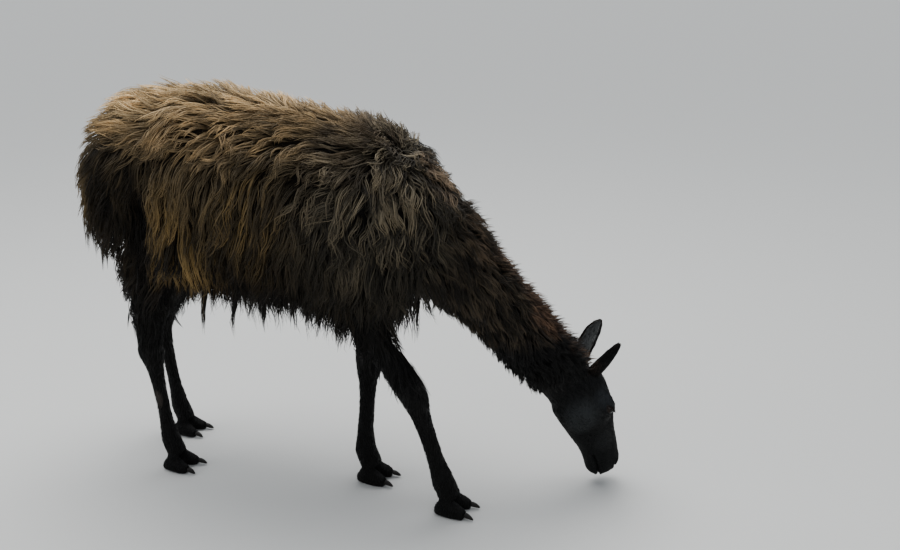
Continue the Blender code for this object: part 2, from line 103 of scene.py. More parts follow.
CAMERA_PLACE = Vector((1.0893, -2.2321, 1.45))
CAMERA_HEADING = math.radians(18.5)     # how far ahead of square it stands
CAMERA_DIP = math.radians(18.6)
lens = bpy.data.cameras.new("camera")
lens.lens = 38
lens.sensor_width = 36
camera = placed("camera", lens)
camera.location = CAMERA_PLACE
camera.rotation_euler = (math.radians(90) - CAMERA_DIP, 0, CAMERA_HEADING)
bpy.context.scene.camera = camera


# ---- hide -----------------------------------------------------------------------
# The animal's skin: one closed hide over trunk, neck, head, legs, feet and tail,
# as deep inside the coat as the coat is long. It is modelled as flesh forms that
# run into each other, fused, smoothed and then worked finely on the face.
def ring(centre, across, up, half_width, above, below, count=24):
    """Points of an oval about a centre."""
    turns = np.linspace(0, 2 * math.pi, count, endpoint=False)
    rise = np.where(np.sin(turns) > 0, above, below) * np.sin(turns)
    return np.asarray(centre) + np.outer(np.cos(turns) * half_width, across) + np.outer(rise, up)


def loft(form, rings):
    """Add a closed tube through rings of points, with pointed ends."""
    layers = [[form.verts.new(point) for point in outline] for outline in rings]
    count = len(layers[0])
    for low, high in zip(layers, layers[1:]):
        for i in range(count):
            j = (i + 1) % count
            form.faces.new((low[i], low[j], high[j], high[i]))
    for layer in (layers[0], layers[-1]):
        tip = form.verts.new(sum((vert.co for vert in layer), Vector()) / count)
        for i in range(count):
            form.faces.new((layer[i], layer[(i + 1) % count], tip))


def finer(rows, steps):
    """Rows of a table with evenly spaced rows between them."""
    rows = np.array(rows, float)
    at = np.linspace(0, len(rows) - 1, steps)
    return np.stack([np.interp(at, range(len(rows)), column) for column in rows.T], 1)


def unit(vectors):
    return vectors / (np.linalg.norm(vectors, axis=-1, keepdims=True) + 1e-12)


def get_places(mesh):
    places = np.empty(len(mesh.vertices) * 3)
    mesh.vertices.foreach_get("co", places)
    return places.reshape(-1, 3)


flesh = bmesh.new()
SPINE_Y = -0.015
SHORN_TRUNK = [
    # x, top, underside, half width, without the wool
    (-0.700, 0.900, 0.800, 0.050),
    (-0.655, 0.985, 0.730, 0.110),
    (-0.593, 1.042, 0.690, 0.150),
    (-0.513, 1.082, 0.655, 0.170),
    (-0.393, 1.092, 0.640, 0.182),
    (-0.243, 1.084, 0.630, 0.195),
    (-0.093, 1.060, 0.622, 0.198),
    (0.057, 1.036, 0.610, 0.190),
    (0.177, 1.012, 0.605, 0.168),
    (0.267, 0.945, 0.620, 0.130),
    (0.327, 0.850, 0.660, 0.085),
    (0.352, 0.760, 0.700, 0.040),
]
trunk_rings = []
for x, top, low, half_width in finer(SHORN_TRUNK, 34):
    tall = (top - low) / 2
    trunk_rings.append(ring((x, SPINE_Y, low + tall), (0, 1, 0), (0, 0, 1), half_width, tall, tall, 32))
loft(flesh, trunk_rings)

NECK_LINE = np.array([
    # the middle of the neck, from the breast to the throat
    (0.197, -0.015, 0.815), (0.312, -0.003, 0.733), (0.417, 0.027, 0.618),
    (0.491, 0.063, 0.526), (0.557, 0.107, 0.431), (0.623, 0.150, 0.338), (0.659, 0.173, 0.288),
])
NECK_SHARES = np.array([0.0, 0.22, 0.42, 0.60, 0.80, 1.00, 1.12])
SHORN_NECK = np.array([
    # half thickness, half width
    (0.145, 0.145), (0.108, 0.106), (0.080, 0.078), (0.072, 0.068),
    (0.072, 0.063), (0.072, 0.061), (0.070, 0.058),
])


def neck_axis(share):
    """Places on the neck's middle line, the way it runs, its left and its crest there."""
    behind, place, ahead = (
        np.stack([np.interp(share + step, NECK_SHARES, column) for column in NECK_LINE.T], -1)
        for step in (-0.06, 0, 0.06))
    run = unit(ahead - behind)
    side = unit(np.cross((0, 0, 1), run))
    return place, run, side, np.cross(run, side)


def neck_share(points):
    """How far down the neck each point lies, and its reach out from the middle line."""
    fine = np.linspace(0, NECK_SHARES[-1], 80)
    line = neck_axis(fine)[0]
    nearest = np.linalg.norm(points[:, None, :] - line[None], axis=2).argmin(1)
    return fine[nearest], points - line[nearest]


neck_rings = []
for share in np.linspace(0.0, NECK_SHARES[-1], 20):
    place, run, side, crest = neck_axis(share)
    thick, wide = (np.interp(share, NECK_SHARES, column) for column in SHORN_NECK.T)
    neck_rings.append(ring(place, side, crest, wide, thick, thick))
loft(flesh, neck_rings)

LIMB_ROOTS = {
    # where shoulder or thigh starts in the trunk, reach fore and aft, half width
    "fore_right": ((0.102, -0.118, 0.700), 0.080, 0.050),
    "fore_left": ((0.072, 0.090, 0.700), 0.080, 0.050),
    "hind_right": ((-0.480, -0.100, 0.800), 0.100, 0.060),
    "hind_left": ((-0.500, 0.072, 0.800), 0.100, 0.060),
}
COAT_ON_HEAD = 0.0025
COAT_ON_LEGS = 0.004
SHORN_BELOW = 0.40           # the legs' own forms show below this height
for leg, (start, reach, half_width) in LIMB_ROOTS.items():
    shank = get_places(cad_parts["leg_" + leg + "_upper"].data)
    seams = []
    for level in (shank[:, 2].max(), SHORN_BELOW):
        cut = shank[np.abs(shank[:, 2] - level) < 0.022]
        seams.append(((cut.min(0) + cut.max(0)) / 2, (cut.max(0) - cut.min(0))[:2] / 2))
    (top, top_size), (low, low_size) = seams
    sizes = [(reach, half_width), top_size * (0.62, 0.70), low_size * 0.80, low_size * 0.6]
    stations = [np.array(start), top, low, low + (low - top) * 0.25]
    limb = np.hstack([np.array(stations), np.array(sizes)])
    loft(flesh, [ring(row[:3], (0, 1, 0), (1, 0, 0), row[4], row[3], row[3]) for row in finer(limb, 22)])

TAIL_CORE = [(-0.640, 0.985, 0.020), (-0.690, 0.950, 0.018), (-0.722, 0.860, 0.014), (-0.722, 0.760, 0.009)]
loft(flesh, [ring((x, SPINE_Y, z), (0, 1, 0), (0.8, 0, 0.6), size, size, size, 12)
             for x, z, size in finer(TAIL_CORE, 8)])

# Legs, feet and head take their forms from the frame's own, which are nearly bare.
WELD = 0.00002               # corners nearer than this are one
SOCKET_SWELL = 1.12          # the flesh round an eye is this much larger than the ball
for name in [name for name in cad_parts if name.startswith(("leg_", "foot_", "eye_"))] + ["head"]:
    part = bmesh.new()
    part.from_mesh(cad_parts[name].data)
    bmesh.ops.remove_doubles(part, verts=part.verts, dist=WELD)
    if name.endswith("_upper"):
        above = [face for face in part.faces if face.calc_center_median().z > SHORN_BELOW]
        bmesh.ops.delete(part, geom=above, context="FACES")
        bmesh.ops.holes_fill(part, edges=part.edges)
    if name.startswith("eye_"):
        middle = sum((vert.co for vert in part.verts), Vector()) / len(part.verts)
        bmesh.ops.scale(part, verts=part.verts, vec=(SOCKET_SWELL,) * 3, space=Matrix.Translation(-middle))
    if name == "head":
        places = np.array([vert.co[:] for vert in part.verts])
        share, out = neck_share(places)
        pull = np.interp(share, [0.97, 1.02, 1.10], [0.28, 0.22, 0.0])
        for vert, shift in zip(part.verts, -out * pull[:, None]):
            vert.co += Vector(shift)
        bmesh.ops.subdivide_edges(part, edges=part.edges, cuts=2, use_grid_fill=True, smooth=0.6)
    piece = bpy.data.meshes.new(name + "_flesh")
    part.to_mesh(piece)
    flesh.from_mesh(piece)
    part.free()
    bpy.data.meshes.remove(piece)

# The face frame: down the nose, out of the face, and to the animal's left.
eye_places = {side: sum((Vector(corner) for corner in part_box("eye_" + side)), Vector()) / 2
              for side in ("left", "right")}
EYE_RADIUS = 0.0165
EYES_FROM_POLL = (0.117, 0.012)      # down the nose and out of the face
FACE_TILT = math.radians(11)
left = (eye_places["left"] - eye_places["right"]).normalized()
upright = Vector((0, 0, 1))
ahead = left.cross(upright)
noseward = ahead * math.sin(FACE_TILT) - upright * math.cos(FACE_TILT)
faceward = ahead * math.cos(FACE_TILT) + upright * math.sin(FACE_TILT)
FACE_AXES = np.array([noseward, faceward, left])
between_eyes = (eye_places["left"] + eye_places["right"]) / 2
poll = np.array(between_eyes - noseward * EYES_FROM_POLL[0] - faceward * EYES_FROM_POLL[1])


def from_face(down, out=0.0, aside=0.0):
    """The place of a point that is given in the face frame."""
    return poll + np.array([down, out, aside]) @ FACE_AXES


def to_face(points):
    """Points in the face frame: down the nose, out of the face, to its left."""
    return (points - poll) @ FACE_AXES.T


BROW_LONG, BROW_WIDE, BROW_DEEP = 0.060, 0.0265, 0.038
for side in (1, -1):
    # the cheekbone and brow carry the eye on a long low swelling
    rings = []
    for turn in np.linspace(math.radians(-78), math.radians(78), 9):
        wide, deep = BROW_WIDE * math.cos(turn), BROW_DEEP * math.cos(turn)
        centre = from_face(0.116 + BROW_LONG * math.sin(turn), -0.004, side * 0.038)
        rings.append(ring(centre, FACE_AXES[2], FACE_AXES[1], wide, deep, deep))
    loft(flesh, rings)

# Fusing at one grain would waste faces on the trunk, so space is stretched
# about the face while the forms are fused, and let back afterwards.
GRAIN = 0.0062
FACE_ZOOM = 2.2
ZOOM_REACH = 0.14
zoom_centre = from_face(0.19)
radii = np.linspace(0, 3, 3000)
stretched = radii + FACE_ZOOM * ZOOM_REACH * (1 - np.exp(-radii / ZOOM_REACH))


def restretch(points, before, after):
    arms = points - zoom_centre
    reach = np.linalg.norm(arms, axis=1, keepdims=True) + 1e-9
    return zoom_centre + arms * np.interp(reach, before, after) / reach


def set_places(mesh, places):
    mesh.vertices.foreach_set("co", places.ravel())
    mesh.update()


def get_normals(mesh):
    normals = np.empty(len(mesh.vertices) * 3)
    mesh.vertex_normals.foreach_get("vector", normals)
    return normals.reshape(-1, 3)


def evaluated(thing):
    """The object's mesh with its modifiers applied, which are then removed."""
    graph = bpy.context.evaluated_depsgraph_get()
    result = bpy.data.meshes.new_from_object(thing.evaluated_get(graph))
    thing.modifiers.clear()
    thing.data = result
    return result


bmesh.ops.recalc_face_normals(flesh, faces=flesh.faces)
hide_mesh = bpy.data.meshes.new("hide")
flesh.to_mesh(hide_mesh)
flesh.free()
set_places(hide_mesh, restretch(get_places(hide_mesh), radii, stretched))
hide = placed("hide", hide_mesh)
fuse = hide.modifiers.new("fuse", "REMESH")
fuse.mode = "VOXEL"
fuse.voxel_size = GRAIN
soften = hide.modifiers.new("soften", "SMOOTH")
soften.factor = 0.5
soften.iterations = 6
hide_mesh = evaluated(hide)
set_places(hide_mesh, restretch(get_places(hide_mesh), stretched, radii))


def gauss(value, width):
    return np.exp(-(value / width) ** 2)


def line_gap(points, line):
    """The distance from each point to a line of straight lengths."""
    best = np.full(len(points), 9.0)
    for start, end in zip(line, line[1:]):
        start, end = np.array(start), np.array(end)
        along = np.clip((points - start) @ (end - start) / np.sum((end - start) ** 2), 0, 1)
        best = np.minimum(best, np.linalg.norm(points - start - along[:, None] * (end - start), axis=1))
    return best


places = get_places(hide_mesh)
normals = get_normals(hide_mesh)
face = to_face(places)
on_head = (face[:, 0] > -0.03) & (np.linalg.norm(face - (0.17, -0.03, 0), axis=1) < 0.26)
on_legs = (places[:, 2] < 0.47) & ~on_head & (neck_share(places)[0] < 0.2)
at_floor = np.interp(places[:, 2], [0.0, 0.006, 0.03], [0.0, 0.2, 1.0])
inset = COAT_ON_HEAD * on_head + COAT_ON_LEGS * at_floor * on_legs

SWELLS = [
    # down, out, aside, spread down, out and aside, height: one for each side
    (0.104, 0.030, 0.050, 0.030, 0.016, 0.022, 0.0050),      # brow
    (0.125, -0.014, 0.062, 0.036, 0.014, 0.020, 0.0035),     # rim below the eye
    (0.165, 0.014, 0.044, 0.022, 0.014, 0.020, -0.0045),     # tear hollow
    (0.085, -0.072, 0.052, 0.042, 0.036, 0.030, 0.0045),     # jaw muscle
    (0.185, -0.052, 0.044, 0.026, 0.028, 0.024, -0.0040),    # hollow before it
    (0.235, 0.014, 0.038, 0.040, 0.012, 0.018, -0.0030),     # side of the nose
    (0.306, -0.012, 0.036, 0.026, 0.014, 0.018, 0.0036),     # upper lip
    (0.302, 0.032, 0.016, 0.018, 0.014, 0.014, 0.0030),      # above the nostril
    (0.322, -0.052, 0.014, 0.016, 0.012, 0.020, 0.0026),     # lower lip
    (0.060, -0.020, 0.060, 0.030, 0.020, 0.020, -0.0030),    # temple
]
lift = np.zeros(len(places))
mirrored = np.stack([face[:, 0], face[:, 1], np.abs(face[:, 2])], 1)
for down, out, at, long, deep, wide, height in SWELLS:
    off = (mirrored - (down, out, at)) / (long, deep, wide)
    lift += height * np.exp(-(off ** 2).sum(1))


def laid_on_skin(line):
    """A line in the face frame, moved onto the nearest skin."""
    skin_places = mirrored[on_head]
    return [skin_places[np.linalg.norm(skin_places - point, axis=1).argmin()] for point in finer(line, 12)]


MOUTH = laid_on_skin([(0.349, -0.028, 0.0), (0.340, -0.032, 0.016), (0.318, -0.036, 0.030),
                      (0.288, -0.041, 0.034), (0.268, -0.045, 0.034)])
NOSTRIL = laid_on_skin([(0.333, 0.014, 0.010), (0.326, 0.014, 0.022), (0.314, 0.018, 0.032),
                        (0.302, 0.026, 0.033)])
LIP_CLEFT = laid_on_skin([(0.328, 0.030, 0.0), (0.338, 0.014, 0.0), (0.348, -0.004, 0.0),
                          (0.350, -0.028, 0.0)])
GROOVES = [
    # line, where the lip beside it stands, its height and spread, the groove's depth and spread
    (MOUTH, 0.0075, 0.0022, 0.0045, 0.0066, 0.0030),
    (NOSTRIL, 0.0075, 0.0026, 0.0035, 0.0110, 0.0034),
    (LIP_CLEFT, 0.0070, 0.0012, 0.0035, 0.0050, 0.0030),
]
for line, lip_at, lip, lip_spread, depth, spread in GROOVES:
    gap = line_gap(mirrored, line)
    lift += lip * gauss(gap - lip_at, lip_spread) - depth * gauss(gap, spread)
places += normals * (lift * on_head - inset)[:, None]

# Each eye lies in lids that rise just over the ball and open in an almond.
LID_THICKNESS = 0.0024
BALL_SHOWS = 0.0022          # how far the skin in the opening lies under the ball
SLIT_RUN = (0.94, 0.34)      # the opening's long way, down the nose and out of the face
SLIT_LONG, SLIT_HIGH = 0.88, 0.62    # its half sizes, in radii of the ball
SLIT_NARROWS = 0.45          # how much lower it is towards its corners
for side, sign in (("left", 1), ("right", -1)):
    centre = to_face(np.array(eye_places[side])[None])[0]
    arm = to_face(places) - centre
    reach = np.linalg.norm(arm, axis=1) + 1e-9
    outward = arm[:, 2] * sign / reach
    slit_long = (arm[:, 0] * SLIT_RUN[0] + arm[:, 1] * SLIT_RUN[1]) / reach
    slit_high = (arm[:, 1] * SLIT_RUN[0] - arm[:, 0] * SLIT_RUN[1]) / reach
    high_here = SLIT_HIGH * (1 - SLIT_NARROWS * slit_long ** 2)
    opening = (slit_long / SLIT_LONG) ** 2 + (slit_high / high_here) ** 2
    closed = np.clip((opening - 0.80) / 0.45, 0, 1)
    closed = closed * closed * (3 - 2 * closed)
    lid = EYE_RADIUS - BALL_SHOWS + (LID_THICKNESS + BALL_SHOWS) * closed
    near = np.clip((0.0300 - reach) / 0.0080, 0, 1) * (outward > 0.05)
    fold = 0.0012 * gauss(opening - 2.1, 0.5)
    target = np.where(reach > lid, np.where(closed < 1, lid, reach - fold), lid)
    target = reach + (target - reach) * near
    places += (arm * ((target - reach) / reach)[:, None]) @ FACE_AXES
set_places(hide_mesh, places)


# The ears grow from the back of the skull: long leaves of thin gristle, bowed
# like a banana, hollow on the side that faces forward and in.
EAR_LENGTH = 0.135
EAR_SUNK = 0.14              # share of the ear that starts inside the head
EAR_CURL = 0.010             # how far the tip leans over the hollow
EAR_ROWS = np.array([
    # along, half width, wrap of the wall in degrees
    (0.00, 0.014, 125), (0.20, 0.0205, 105), (0.45, 0.0250, 78),
    (0.73, 0.0215, 62), (0.91, 0.0130, 52), (1.00, 0.0035, 45),
])
EARS = {
    # side, seat in the face frame, reach, bow
    "left": (1, (-0.011, -0.008, 0.042), (-0.66, 0.67, 0.24), -0.008),
    "right": (-1, (0.019, -0.001, 0.036), (-0.69, 0.58, 0.29), -0.006),
}


def ear_shape(side, seat, lean, bow, along, angle, depth):
    """Places on an ear: along it, round its wall, and in from its outer face."""
    sided = np.array([1, 1, side])
    base = poll + (np.array(seat) * sided) @ FACE_AXES
    run = unit((np.array(lean) * sided) @ FACE_AXES)
    opening = np.array([-0.35, -0.20, -0.85 * side]) @ FACE_AXES
    opening = unit(opening - run * (opening @ run))
    across = np.cross(run, opening)
    half_width, wrap = (np.interp(along, EAR_ROWS[:, 0], column) for column in EAR_ROWS.T[1:])
    wrap = np.radians(wrap)
    radius = half_width / np.sin(np.minimum(wrap, math.pi / 2))
    turn = angle * wrap
    middle = (base + np.outer(EAR_LENGTH * (along - EAR_SUNK), run)
              + np.outer(EAR_CURL * along ** 2 + radius, opening)
              + np.outer(bow * 4 * along * (1 - along), across))
    out = np.outer(np.cos(turn), -opening) + np.outer(np.sin(turn), across)
    return middle + out * (radius - depth)[:, None], out


def keep_values(mesh, name, values):
    """Store a number on each of a mesh's points."""
    stored = mesh.attributes.new(name, "FLOAT", "POINT")
    stored.data.foreach_set("value", np.asarray(values, np.float32))


skin_form = bmesh.new()
skin_form.from_mesh(hide_mesh)
ears_begin = len(skin_form.verts)
EAR_STEPS, EAR_ACROSS = 40, 14
EAR_WALL = 0.0034            # at its middle, low down; thinner to tip and rims
HIDE_SHARE_KEPT = 0.62       # flat stretches lose faces, folds keep theirs
for side, seat, lean, bow in EARS.values():
    rings = []
    for along in np.linspace(0, 1, EAR_STEPS):
        turns = np.linspace(-1, 1, EAR_ACROSS)
        wall = EAR_WALL * (1 - 0.55 * along) * (1 - 0.6 * turns ** 2)
        outer, inner = (ear_shape(side, seat, lean, bow, np.full(EAR_ACROSS, along), turns, depth)[0]
                        for depth in (0 * wall, wall))
        rings.append(np.vstack([outer, inner[::-1]]))
    layers = [[skin_form.verts.new(point) for point in outline] for outline in rings]
    skin = []
    for row, (low, high) in enumerate(zip(layers, layers[1:])):
        for i in range(len(low)):
            j = (i + 1) % len(low)
            skin.append(skin_form.faces.new((low[i], low[j], high[j], high[i])))
            lined = EAR_ACROSS + 1 < i < 2 * EAR_ACROSS - 3 and row < 0.88 * EAR_STEPS
            skin[-1].material_index = int(lined)
    for layer in (layers[0], layers[-1]):
        for i in range(EAR_ACROSS - 1):
            skin.append(skin_form.faces.new((layer[i], layer[i + 1], layer[-2 - i], layer[-1 - i])))
    bmesh.ops.recalc_face_normals(skin_form, faces=skin)
skin_form.to_mesh(hide_mesh)
skin_form.free()
keep_values(hide_mesh, "is_ear", np.arange(len(hide_mesh.vertices)) >= ears_begin)
thin = hide.modifiers.new("thin", "DECIMATE")
thin.ratio = HIDE_SHARE_KEPT
hide_mesh = evaluated(hide)
hide_mesh.shade_smooth()


def feed(node, socket, value):
    """Give a node's socket a plain value, or the (node, output) that it reads."""
    if isinstance(value, tuple) and isinstance(value[0], bpy.types.Node):
        node.id_data.links.new(value[0].outputs[value[1]], node.inputs[socket])
    else:
        node.inputs[socket].default_value = value


def shader_node(tree, kind, output, *inputs, operation=None, **sockets):
    """A shader node's output, with its sockets fed in order or by name."""
    node = tree.nodes.new("ShaderNode" + kind)
    if operation:
        node.operation = operation
    for socket, value in [*enumerate(inputs), *sockets.items()]:
        feed(node, socket, value)
    return node, output


def ramp(tree, source, stops):
    """A colour read from (place, colour) stops."""
    node, output = shader_node(tree, "ValToRGB", "Color", source)
    while len(node.color_ramp.elements) < len(stops):
        node.color_ramp.elements.new(0.5)
    for element, (place, colour) in zip(node.color_ramp.elements, stops):
        element.position = place
        element.color = (*colour, 1)
    return node, output


def mixed(tree, factor, base, over, blend="MIX"):
    node = tree.nodes.new("ShaderNodeMix")
    node.data_type = "RGBA"
    node.blend_type = blend
    for socket, value in (("Factor", factor), ("A", base), ("B", over)):
        feed(node, socket, value)
    return node, "Result"


def band(tree, source, low, high, course="SMOOTHSTEP"):
    """0 to 1 as a value passes from low to high."""
    node, output = shader_node(tree, "MapRange", "Result", source, low, high)
    node.interpolation_type = course
    return node, output


# The markings lie on the hide and on the coat alike: black face, ears and legs,
# a dark neck with a rusty crest, and a brown body bleached tan along the back.
# Painted light brightens the top of the back further; painted shade darkens the
# underside, the throat, the fold over the thigh and the depths of the coat;
# painted sheen lies on the face and the shoulders.
markings = bpy.data.node_groups.new("llama_markings", "ShaderNodeTree")
markings.interface.new_socket("Tone", in_out="INPUT", socket_type="NodeSocketFloat").default_value = 0.5
markings.interface.new_socket("Color", in_out="OUTPUT", socket_type="NodeSocketColor")
m_in = markings.nodes.new("NodeGroupInput")
m_out = markings.nodes.new("NodeGroupOutput")
m_place = shader_node(markings, "TexCoord", "Object")
m_wander = shader_node(markings, "TexNoise", "Color", Vector=m_place, Scale=7.0, Detail=3.0, Roughness=0.55)
m_centred = shader_node(markings, "VectorMath", "Vector", m_wander, (0.5, 0.5, 0.5), operation="SUBTRACT")
m_where = shader_node(markings, "VectorMath", "Vector", m_centred, (0.22, 0.22, 0.22), m_place,
                      operation="MULTIPLY_ADD")
m_split, _ = shader_node(markings, "SeparateXYZ", "Z", m_where)


def spot(place, radii, edge=0.45, crisp=False):
    """A soft-edged patch, 1 in its middle, that wanders in outline unless crisp."""
    shift = shader_node(markings, "VectorMath", "Vector", m_place if crisp else m_where, tuple(place),
                        operation="SUBTRACT")
    scale = shader_node(markings, "VectorMath", "Vector", shift, radii, operation="DIVIDE")
    reach = shader_node(markings, "VectorMath", "Value", scale, operation="LENGTH")
    return band(markings, reach, 1.0 + edge, 1.0 - edge)


def lay_over(base, mask, colour, locks=None):
    """A flat colour over the base where the mask is 1, on some of the locks only if given."""
    if locks:
        mask = shader_node(markings, "Math", "Value", mask, locks, operation="MULTIPLY")
    return mixed(markings, mask, base, (*colour, 1))


m_bright = band(markings, (m_in, "Tone"), 0.45, 0.80)
# the bleach, with the painted light on the back, reaches lower over the rump
m_slope = shader_node(markings, "Math", "Value", (m_split, "X"), -0.06, (m_split, "Z"),
                      operation="MULTIPLY_ADD")
# by height: dark brown low down to bleached tan on top, with painted shade on the underside and painted light
# on the top of the back
m_colour = ramp(markings, band(markings, m_slope, 0.42, 1.12, "LINEAR"), [
    (0.00, (0.0028, 0.0022, 0.0016)),
    (0.22, (0.0036, 0.0028, 0.0018)),
    (0.34, (0.0062, 0.0046, 0.0028)),
    (0.50, (0.045, 0.0345, 0.0195)),
    (0.66, (0.074, 0.0570, 0.0330)),
    (0.80, (0.086, 0.066, 0.039)),
    (0.92, (0.240, 0.174, 0.095)),
    (1.00, (0.440, 0.330, 0.188)),
])
PATCHES = [
    # place, reach, softness, colour, and which locks have it
    ((0.27, -0.015, 1.01), (0.23, 0.32, 0.17), 0.4, (0.094, 0.070, 0.045), None),
    ((0.22, -0.015, 0.80), (0.26, 0.40, 0.235), 0.4, (0.028, 0.025, 0.019), None),
    # painted sheen: greyish highlights on the bright locks of the shoulder, partly their paler tips
    ((0.22, -0.015, 0.90), (0.23, 0.40, 0.190), 0.5, (0.090, 0.079, 0.058), m_bright),
    ((-0.335, -0.24, 0.70), (0.085, 0.18, 0.16), 0.7, (0.124, 0.088, 0.038), m_bright),
    ((-0.10, -0.24, 0.83), (0.080, 0.16, 0.12), 0.6, (0.105, 0.075, 0.033), m_bright),
    ((-0.26, 0.22, 0.74), (0.120, 0.16, 0.14), 0.7, (0.100, 0.071, 0.031), m_bright),
    ((-0.56, -0.14, 0.78), (0.10, 0.14, 0.22), 0.4, (0.013, 0.0098, 0.0058), None),
    ((-0.70, -0.015, 0.84), (0.09, 0.20, 0.22), 0.4, (0.060, 0.043, 0.019), m_bright),
    # painted shade: the dark crease where the blanket overhangs the thigh
    ((-0.47, -0.20, 0.72), (0.035, 0.20, 0.20), 0.5, (0.008, 0.0060, 0.0040), None),
]
for place, reach, edge, colour, locks in PATCHES:
    m_colour = lay_over(m_colour, spot(place, reach, edge), colour, locks)
m_neck = band(markings, (m_split, "X"), 0.30, 0.44)
m_colour = lay_over(m_colour, m_neck, (0.0115, 0.0092, 0.0062))
m_colour = lay_over(m_colour, m_neck, (0.036, 0.029, 0.0205), m_bright)
# darker under the throat: dark hair, deepened with painted shade under the neck
m_throat = spot(neck_axis(0.95)[0] - (0.06, 0.04, 0.05), (0.14, 0.14, 0.14), 0.5)
m_colour = lay_over(m_colour, m_throat, (0.0075, 0.0062, 0.0050))
CREST = {
    # share of the neck: colour of the dark locks there, and of the bright ones
    0.12: ((0.048, 0.037, 0.026), (0.105, 0.080, 0.057)),
    0.30: ((0.034, 0.026, 0.018), (0.080, 0.059, 0.042)),
    0.46: ((0.032, 0.021, 0.014), (0.080, 0.054, 0.038)),
    0.62: ((0.032, 0.018, 0.011), (0.088, 0.055, 0.038)),
    0.76: ((0.034, 0.018, 0.011), (0.098, 0.061, 0.042)),
    0.90: ((0.034, 0.018, 0.011), (0.105, 0.067, 0.047)),
}
for share, (dark, bright) in CREST.items():
    place, _, _, crest = neck_axis(share)
    above = place + crest * np.interp(share, [0.12, 0.46, 0.62], [0.200, 0.135, 0.115])
    crest_spot = spot(above, (0.085, 0.085, 0.085))
    m_colour = lay_over(m_colour, crest_spot, dark)
    m_colour = lay_over(m_colour, crest_spot, bright, m_bright)
m_colour = lay_over(m_colour, band(markings, (m_split, "Z"), 0.50, 0.42), (0.0026, 0.0025, 0.0023))
GLAND_HEIGHT = 0.225         # bare pale ovals on the outsides of the hind shanks
GLAND_OUT = 0.024            # from the middle of the shank
for leg, outward in (("hind_left", 1), ("hind_right", -1)):
    shank = get_places(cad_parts["leg_" + leg + "_lower"].data)
    level = shank[np.abs(shank[:, 2] - GLAND_HEIGHT) < 0.05]
    middle = (level.min(0) + level.max(0)) / 2
    gland = (middle[0], middle[1] + outward * GLAND_OUT, GLAND_HEIGHT)
    m_colour = lay_over(m_colour, spot(gland, (0.020, 0.013, 0.032), 0.3, True), (0.040, 0.034, 0.029))
m_face = spot(from_face(0.16), (0.17, 0.17, 0.21), 0.2)
m_colour = lay_over(m_colour, m_face, (0.0040, 0.0044, 0.0045))
FACE_PAINTED_SHEENS = [
    # down, out, aside, reach, colour: painted sheen on the high places of each side, over slightly paler hair
    # tips
    (0.112, -0.068, 0.060, 0.044, (0.0210, 0.0240, 0.0260)),     # jaw muscle
    (0.145, -0.080, 0.050, 0.030, (0.0180, 0.0205, 0.0215)),     # its lower edge
    (0.080, 0.004, 0.056, 0.028, (0.0160, 0.0185, 0.0215)),      # temple
    (0.118, 0.022, 0.056, 0.020, (0.0110, 0.0120, 0.0130)),      # brow
    (0.225, -0.006, 0.040, 0.030, (0.0095, 0.0105, 0.0108)),     # side of the nose
]
# painted sheen on both sides of the dark face
for down, out, aside, reach, colour in FACE_PAINTED_SHEENS:
    for side in (1, -1):
        painted_sheen = spot(from_face(down, out, aside * side), (reach,) * 3, 0.6, True)
        m_colour = lay_over(m_colour, painted_sheen, colour)
m_poll = spot(from_face(-0.012, 0.004), (0.040, 0.040, 0.040), 0.5, True)
feed(m_out, "Color", lay_over(m_colour, m_poll, (0.080, 0.056, 0.042), m_bright))


# The short-hair grain: fine hairs drawn out along the limb, as a height and a tone.
short_hair = bpy.data.node_groups.new("short_hair_grain", "ShaderNodeTree")
short_hair.interface.new_socket("Scale", in_out="INPUT", socket_type="NodeSocketFloat").default_value = 520
short_hair.interface.new_socket("Grain", in_out="OUTPUT", socket_type="NodeSocketFloat")
h_in = short_hair.nodes.new("NodeGroupInput")
h_out = short_hair.nodes.new("NodeGroupOutput")
h_place = shader_node(short_hair, "TexCoord", "Object")
h_stretch = shader_node(short_hair, "Mapping", "Vector", Vector=h_place, Scale=(1, 1, 0.28))
feed(h_out, "Grain", shader_node(short_hair, "TexNoise", "Fac", Vector=h_stretch, Scale=(h_in, "Scale"),
                                 Detail=4.0, Roughness=0.6))


def grouped(tree, group, output, **sockets):
    """A group placed in a material, with its own values."""
    node = tree.nodes.new("ShaderNodeGroup")
    node.node_tree = group
    for socket, value in sockets.items():
        feed(node, socket, value)
    return node, output


def kept_value(tree, name):
    """The number that the mesh keeps on its points under a name."""
    node, output = shader_node(tree, "Attribute", "Fac")
    node.attribute_name = name
    return node, output


def tinted(tree, base, by, stops):
    """The base colour multiplied by a ramp read from a mask."""
    return mixed(tree, 1, base, ramp(tree, by, stops), "MULTIPLY")


def bumped(tree, shader, height, strength, distance):
    feed(shader, "Normal", shader_node(tree, "Bump", "Normal", Height=height, Strength=strength,
                                       Distance=distance))


hide_coat, tree, shader = surface("hide_short_hair", 0.58, 0.10)
grain = grouped(tree, short_hair, "Grain", Scale=520.0)
matted = grouped(tree, short_hair, "Grain", Scale=130.0)
under = kept_value(tree, "under_wool")
toned = tinted(tree, grouped(tree, markings, "Color"), grain, [
    (0.30, (0.60, 0.60, 0.62)), (0.72, (1.25, 1.2, 1.15))])
# painted shade: under the wool the hide is darkened as in the coat's shadow, then mottled with matted lumps
shaded = tinted(tree, toned, under, [(0.0, (1, 1, 1)), (1.0, (0.16, 0.15, 0.14))])
shaded_underwool = tinted(tree, shaded, matted, [(0.38, (0.35, 0.35, 0.35)), (0.62, (1.3, 1.3, 1.3))])
feed(shader, "Base Color", mixed(tree, under, toned, shaded_underwool))
lumps = shader_node(tree, "Math", "Value", matted, under, grain, operation="MULTIPLY_ADD")
bumped(tree, shader, lumps, 0.6, 0.003)

